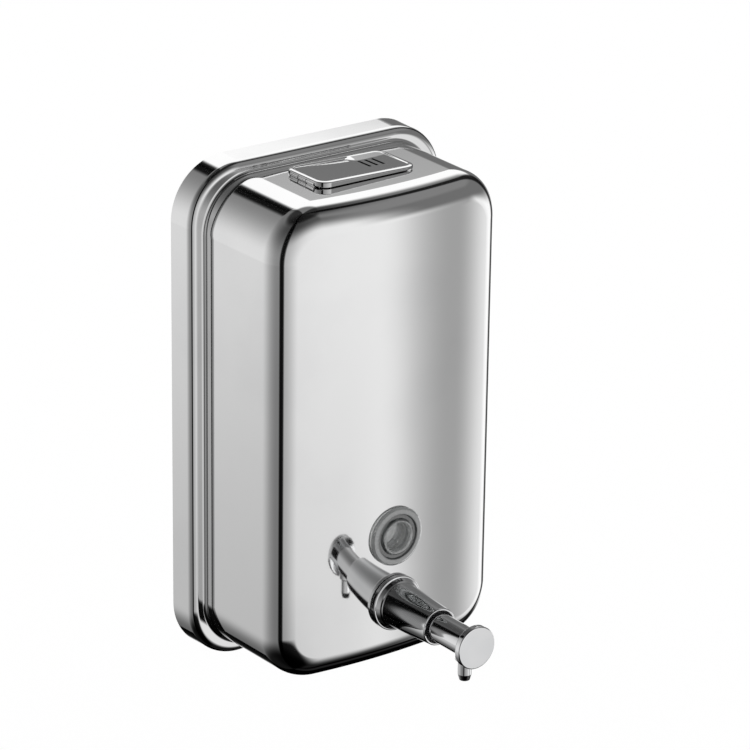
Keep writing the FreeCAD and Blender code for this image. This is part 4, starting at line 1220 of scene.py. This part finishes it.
FINISHES = {
    Slot.POLISHED: MirrorMetal((0.87, 0.87, 0.872), (0.9, 0.9, 0.9), 0.045, 0.015, 0.00001),
    Slot.PLATED: MirrorMetal((0.84, 0.85, 0.86), (0.92, 0.92, 0.925), 0.03, 0.02, 0.000004),
    Slot.PLAIN: SatinMetal((0.5, 0.5, 0.51), (0.66, 0.66, 0.66), 0.3, (0.04, 1, 1)),
    Slot.CLEAR: ClearPlug(),
    Slot.RUBBER: Moulded((0.012, 0.012, 0.013), (0.03, 0.03, 0.03), 0.62, 0.00002),
    Slot.SILICONE: Moulded((0.6, 0.6, 0.59), (0.7, 0.7, 0.69), 0.4, 0.000005),
    Slot.BLACK: Moulded((0.014, 0.014, 0.016), (0.035, 0.035, 0.037), 0.45, 0.00001),
    Slot.WHITE: Moulded((0.76, 0.76, 0.74), (0.84, 0.84, 0.82), 0.38, 0.000006),
    Slot.BRASS: SatinMetal((0.5, 0.36, 0.14), (0.72, 0.55, 0.27), 0.28, (1, 1, 0.05)),
}


def dress_all() -> None:
    """Give every shown piece and CAD node the finish of its material slot."""
    materials = {slot: principled(slot.value, finish.inputs) for slot, finish in FINISHES.items()}
    slots = {part["node"]: part["material_slot"] for part in frame["record"]["subparts"]}
    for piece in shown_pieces():
        slot = piece.get("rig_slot") or slots[piece.name]
        piece.data.materials.clear()
        piece.data.materials.append(materials[Slot(slot)])


# ---------------------------------------------------------------- studio
@dataclass(frozen=True)
class Studio:
    """The camera, the pale floor and the light all round.

    The metal mirrors a ring of soft panels with dark gaps between them, which only glossy and
    transmitted rays see. Everything else is lit by an even white.
    """

    camera: Triple = (-0.8582, -1.1917, 0.5771)
    target: Triple = (0.0, -0.035, 0.0)
    roll: float = 0.0114
    lens: float = 192.0
    sensor: float = 36.0
    shift: Pair = (0.032, 0.047)
    floor_height: float = -0.42
    floor_half: float = 9.0
    floor_tint: Triple = (0.8, 0.8, 0.8)
    floor_glow: float = 0.2
    clip: Pair = (0.01, 60.0)
    gamma: float = 2.2
    gain: float = 1.14

    def build_camera(self) -> None:
        """A camera at the place of the viewer."""
        data = bpy.data.cameras.new("camera")
        data.lens, data.sensor_width = self.lens, self.sensor
        data.shift_x, data.shift_y = self.shift
        data.clip_start, data.clip_end = self.clip
        camera = bpy.data.objects.new("camera", data)
        back = unit(np.array(self.camera) - np.array(self.target))
        right = unit(np.cross(UP, back))
        above = np.cross(back, right)
        cos, sin = math.cos(self.roll), math.sin(self.roll)
        matrix = np.eye(4)
        matrix[:3, 0] = cos * right + sin * above
        matrix[:3, 1] = cos * above - sin * right
        matrix[:3, 2] = back
        matrix[:3, 3] = self.camera
        camera.matrix_world = [list(map(float, row)) for row in matrix.T]
        bpy.context.scene.collection.objects.link(camera)
        bpy.context.scene.camera = camera

    def build_floor(self) -> None:
        """A pale floor below the object. It keeps a soft shadow, and mirrors don't show it."""
        half, height = self.floor_half, self.floor_height
        corners = [(-half, -half), (half, -half), (half, half), (-half, half)]
        mesh = bpy.data.meshes.new("floor")
        mesh.from_pydata([(x, y, height) for x, y in corners], [], [(0, 1, 2, 3)])
        floor = bpy.data.objects.new("floor", mesh)
        bpy.context.scene.collection.objects.link(floor)
        floor.visible_glossy = False
        floor.visible_transmission = False
        floor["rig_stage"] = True
        material = bpy.data.materials.new("floor")
        material.use_nodes = True
        shader = Shader(material.node_tree)
        plain = shader.wire("ShaderNodeBsdfDiffuse", {}, {"Color": (*self.floor_tint, 1)})
        seen = shader.wire("ShaderNodeLightPath", {}, {}, "Is Camera Ray")
        glow = shader.wire("ShaderNodeEmission", {}, {"Strength": seen * self.floor_glow})
        both = shader.wire("ShaderNodeAddShader", {}, {0: plain, 1: glow})
        below = shader.wire("ShaderNodeNewGeometry", {}, {}, "Backfacing")
        clear = shader.wire("ShaderNodeBsdfTransparent", {}, {})
        surface = shader.wire("ShaderNodeMixShader", {}, {0: below, 1: both, 2: clear})
        shader.node("ShaderNodeOutputMaterial", {}, {"Surface": surface})
        floor.data.materials.append(material)

    def mirrored(self, azimuth: Wire, height: Wire) -> Wire:
        """How bright the metal looks where it mirrors a direction.

        A broad panel on the left and one in front fade upwards, a low panel on the right has a dim
        edge, and a high panel stands behind on the right, brightest from 21 degrees up. A dark
        upright gap parts the first two and a dark bow parts the last two. There is a dark spot
        high up behind, and it is dark low down, most of all in front and on the right.

        Args:
            azimuth: Degrees from straight out of the wall, positive to the right.
            height: Degrees above the horizon.

        Returns:
            The brightness as it is displayed, from 0 to 1.
        """
        left = 0.85 - 0.33 * azimuth.between(-146, -66)
        left = left * (1 - 0.5 * height.between(-6, 52)) * (1 - 0.17 * height.between(-17, -26))
        front = 0.66 + 0.24 * azimuth.between(-50, 26)
        front = front * (1 - 0.66 * height.between(4, 50)) * (1 - 0.09 * height.between(-18, -26))
        edge = azimuth.between(32, 50) * azimuth.between(60, 51)
        low = 0.9 + 0.08 * azimuth.between(56, 76) - 0.29 * edge
        right = (0.42 + 0.06 * height.bump(42, 6, 10)).towards(low, height.between(6, -12))
        back = (0.41 + 0.32 * height.between(14.5, 22) + 0.25 * height.between(20.2, 21.4)
                + 0.57 * height.between(-4, -16))
        level = left.towards(front, azimuth.between(-50, -46))
        level = level.towards(right, azimuth.between(24, 42))
        level = level.towards(back, azimuth.between(100, 122))
        level = level.towards(left, azimuth.between(166, 180))
        rise = height - 8
        in_front = azimuth.between(-60, -48) * azimuth.between(24, 6)
        dark_places = (
            (0.82, azimuth.bump(-51, 5, 7)),  # the upright gap
            (0.72, (azimuth + rise * rise / 82).bump(108, 5, 8)),  # the bow
            (0.8, azimuth.size().between(166, 174) * height.bump(39.5, 2.5, 5)),  # the spot
            (0.55, height.between(54, 66)),  # overhead
            (0.85, height.between(-26, -58)),  # low down, all round
            (0.85, in_front * height.between(-24, -31)),  # low in front
            (0.85, azimuth.between(78, 94) * height.between(-28, -40)),  # low on the right
        )
        for depth, place in dark_places:
            level = level * (1 - depth * place)
        return level

    def build_world(self) -> None:
        """White to the camera, an even white for light, and the panels for glossy rays."""
        world = bpy.data.worlds.new("studio")
        world.use_nodes = True
        bpy.context.scene.world = world
        shader = Shader(world.node_tree)
        here = shader.wire("ShaderNodeTexCoord", {}, {}, "Generated")
        split = shader.node("ShaderNodeSeparateXYZ", {}, {"Vector": here})
        x, y, z = (Wire(shader, split.outputs[axis]) for axis in "XYZ")
        degrees = math.degrees(1)
        azimuth = shader.wire("ShaderNodeMath", {"operation": "ARCTAN2"}, {0: x, 1: 0 - y})
        height = shader.wire("ShaderNodeMath", {"operation": "ARCSINE"}, {0: z})
        level = self.mirrored(azimuth * degrees, height * degrees)
        path = shader.node("ShaderNodeLightPath", {}, {})
        glossy = Wire(shader, path.outputs["Is Glossy Ray"])
        through = Wire(shader, path.outputs["Is Transmission Ray"])
        scattered = Wire(shader, path.outputs["Diffuse Depth"])
        mirror = glossy.largest(through) * (1 - scattered.between(0, 1))
        strength = mirror * (level.power(self.gamma) * self.gain) + (1 - mirror)
        settings = {"Color": (1, 1, 1, 1), "Strength": strength}
        surface = shader.wire("ShaderNodeBackground", {}, settings)
        shader.node("ShaderNodeOutputWorld", {}, {"Surface": surface})

    def build(self) -> None:
        """Camera, floor and light."""
        bpy.context.scene.view_settings.view_transform = "Standard"
        self.build_camera()
        self.build_floor()
        self.build_world()


def report(what: str, *pieces: bpy.types.Object) -> None:
    """Log each piece with its number of faces."""
    for piece in pieces:
        log.info("%s: %s, %d faces", what, piece.name, len(piece.data.polygons))


def main() -> None:
    """Build the studio and each sub-assembly in order, then dress everything."""
    Studio().build()
    report("tank", TankShell().build())
    report("filler", *FillerLid().build())
    report("sight glass", SightGlass().build())
    report("valve", *Valve().build())
    report("pump spring", Spring("return_spring", "dispenser", "plunger_press", (0, -1, 0),
                                 3.9, 0.35, 11, 11.0).build())
    report("latch spring", Spring("latch_spring", "lid_set", "latch_slide", (1, 0, 0),
                                  0.75, 0.15, 4, 1.6).build())
    dress_all()


if __name__ == "__main__":
    main()
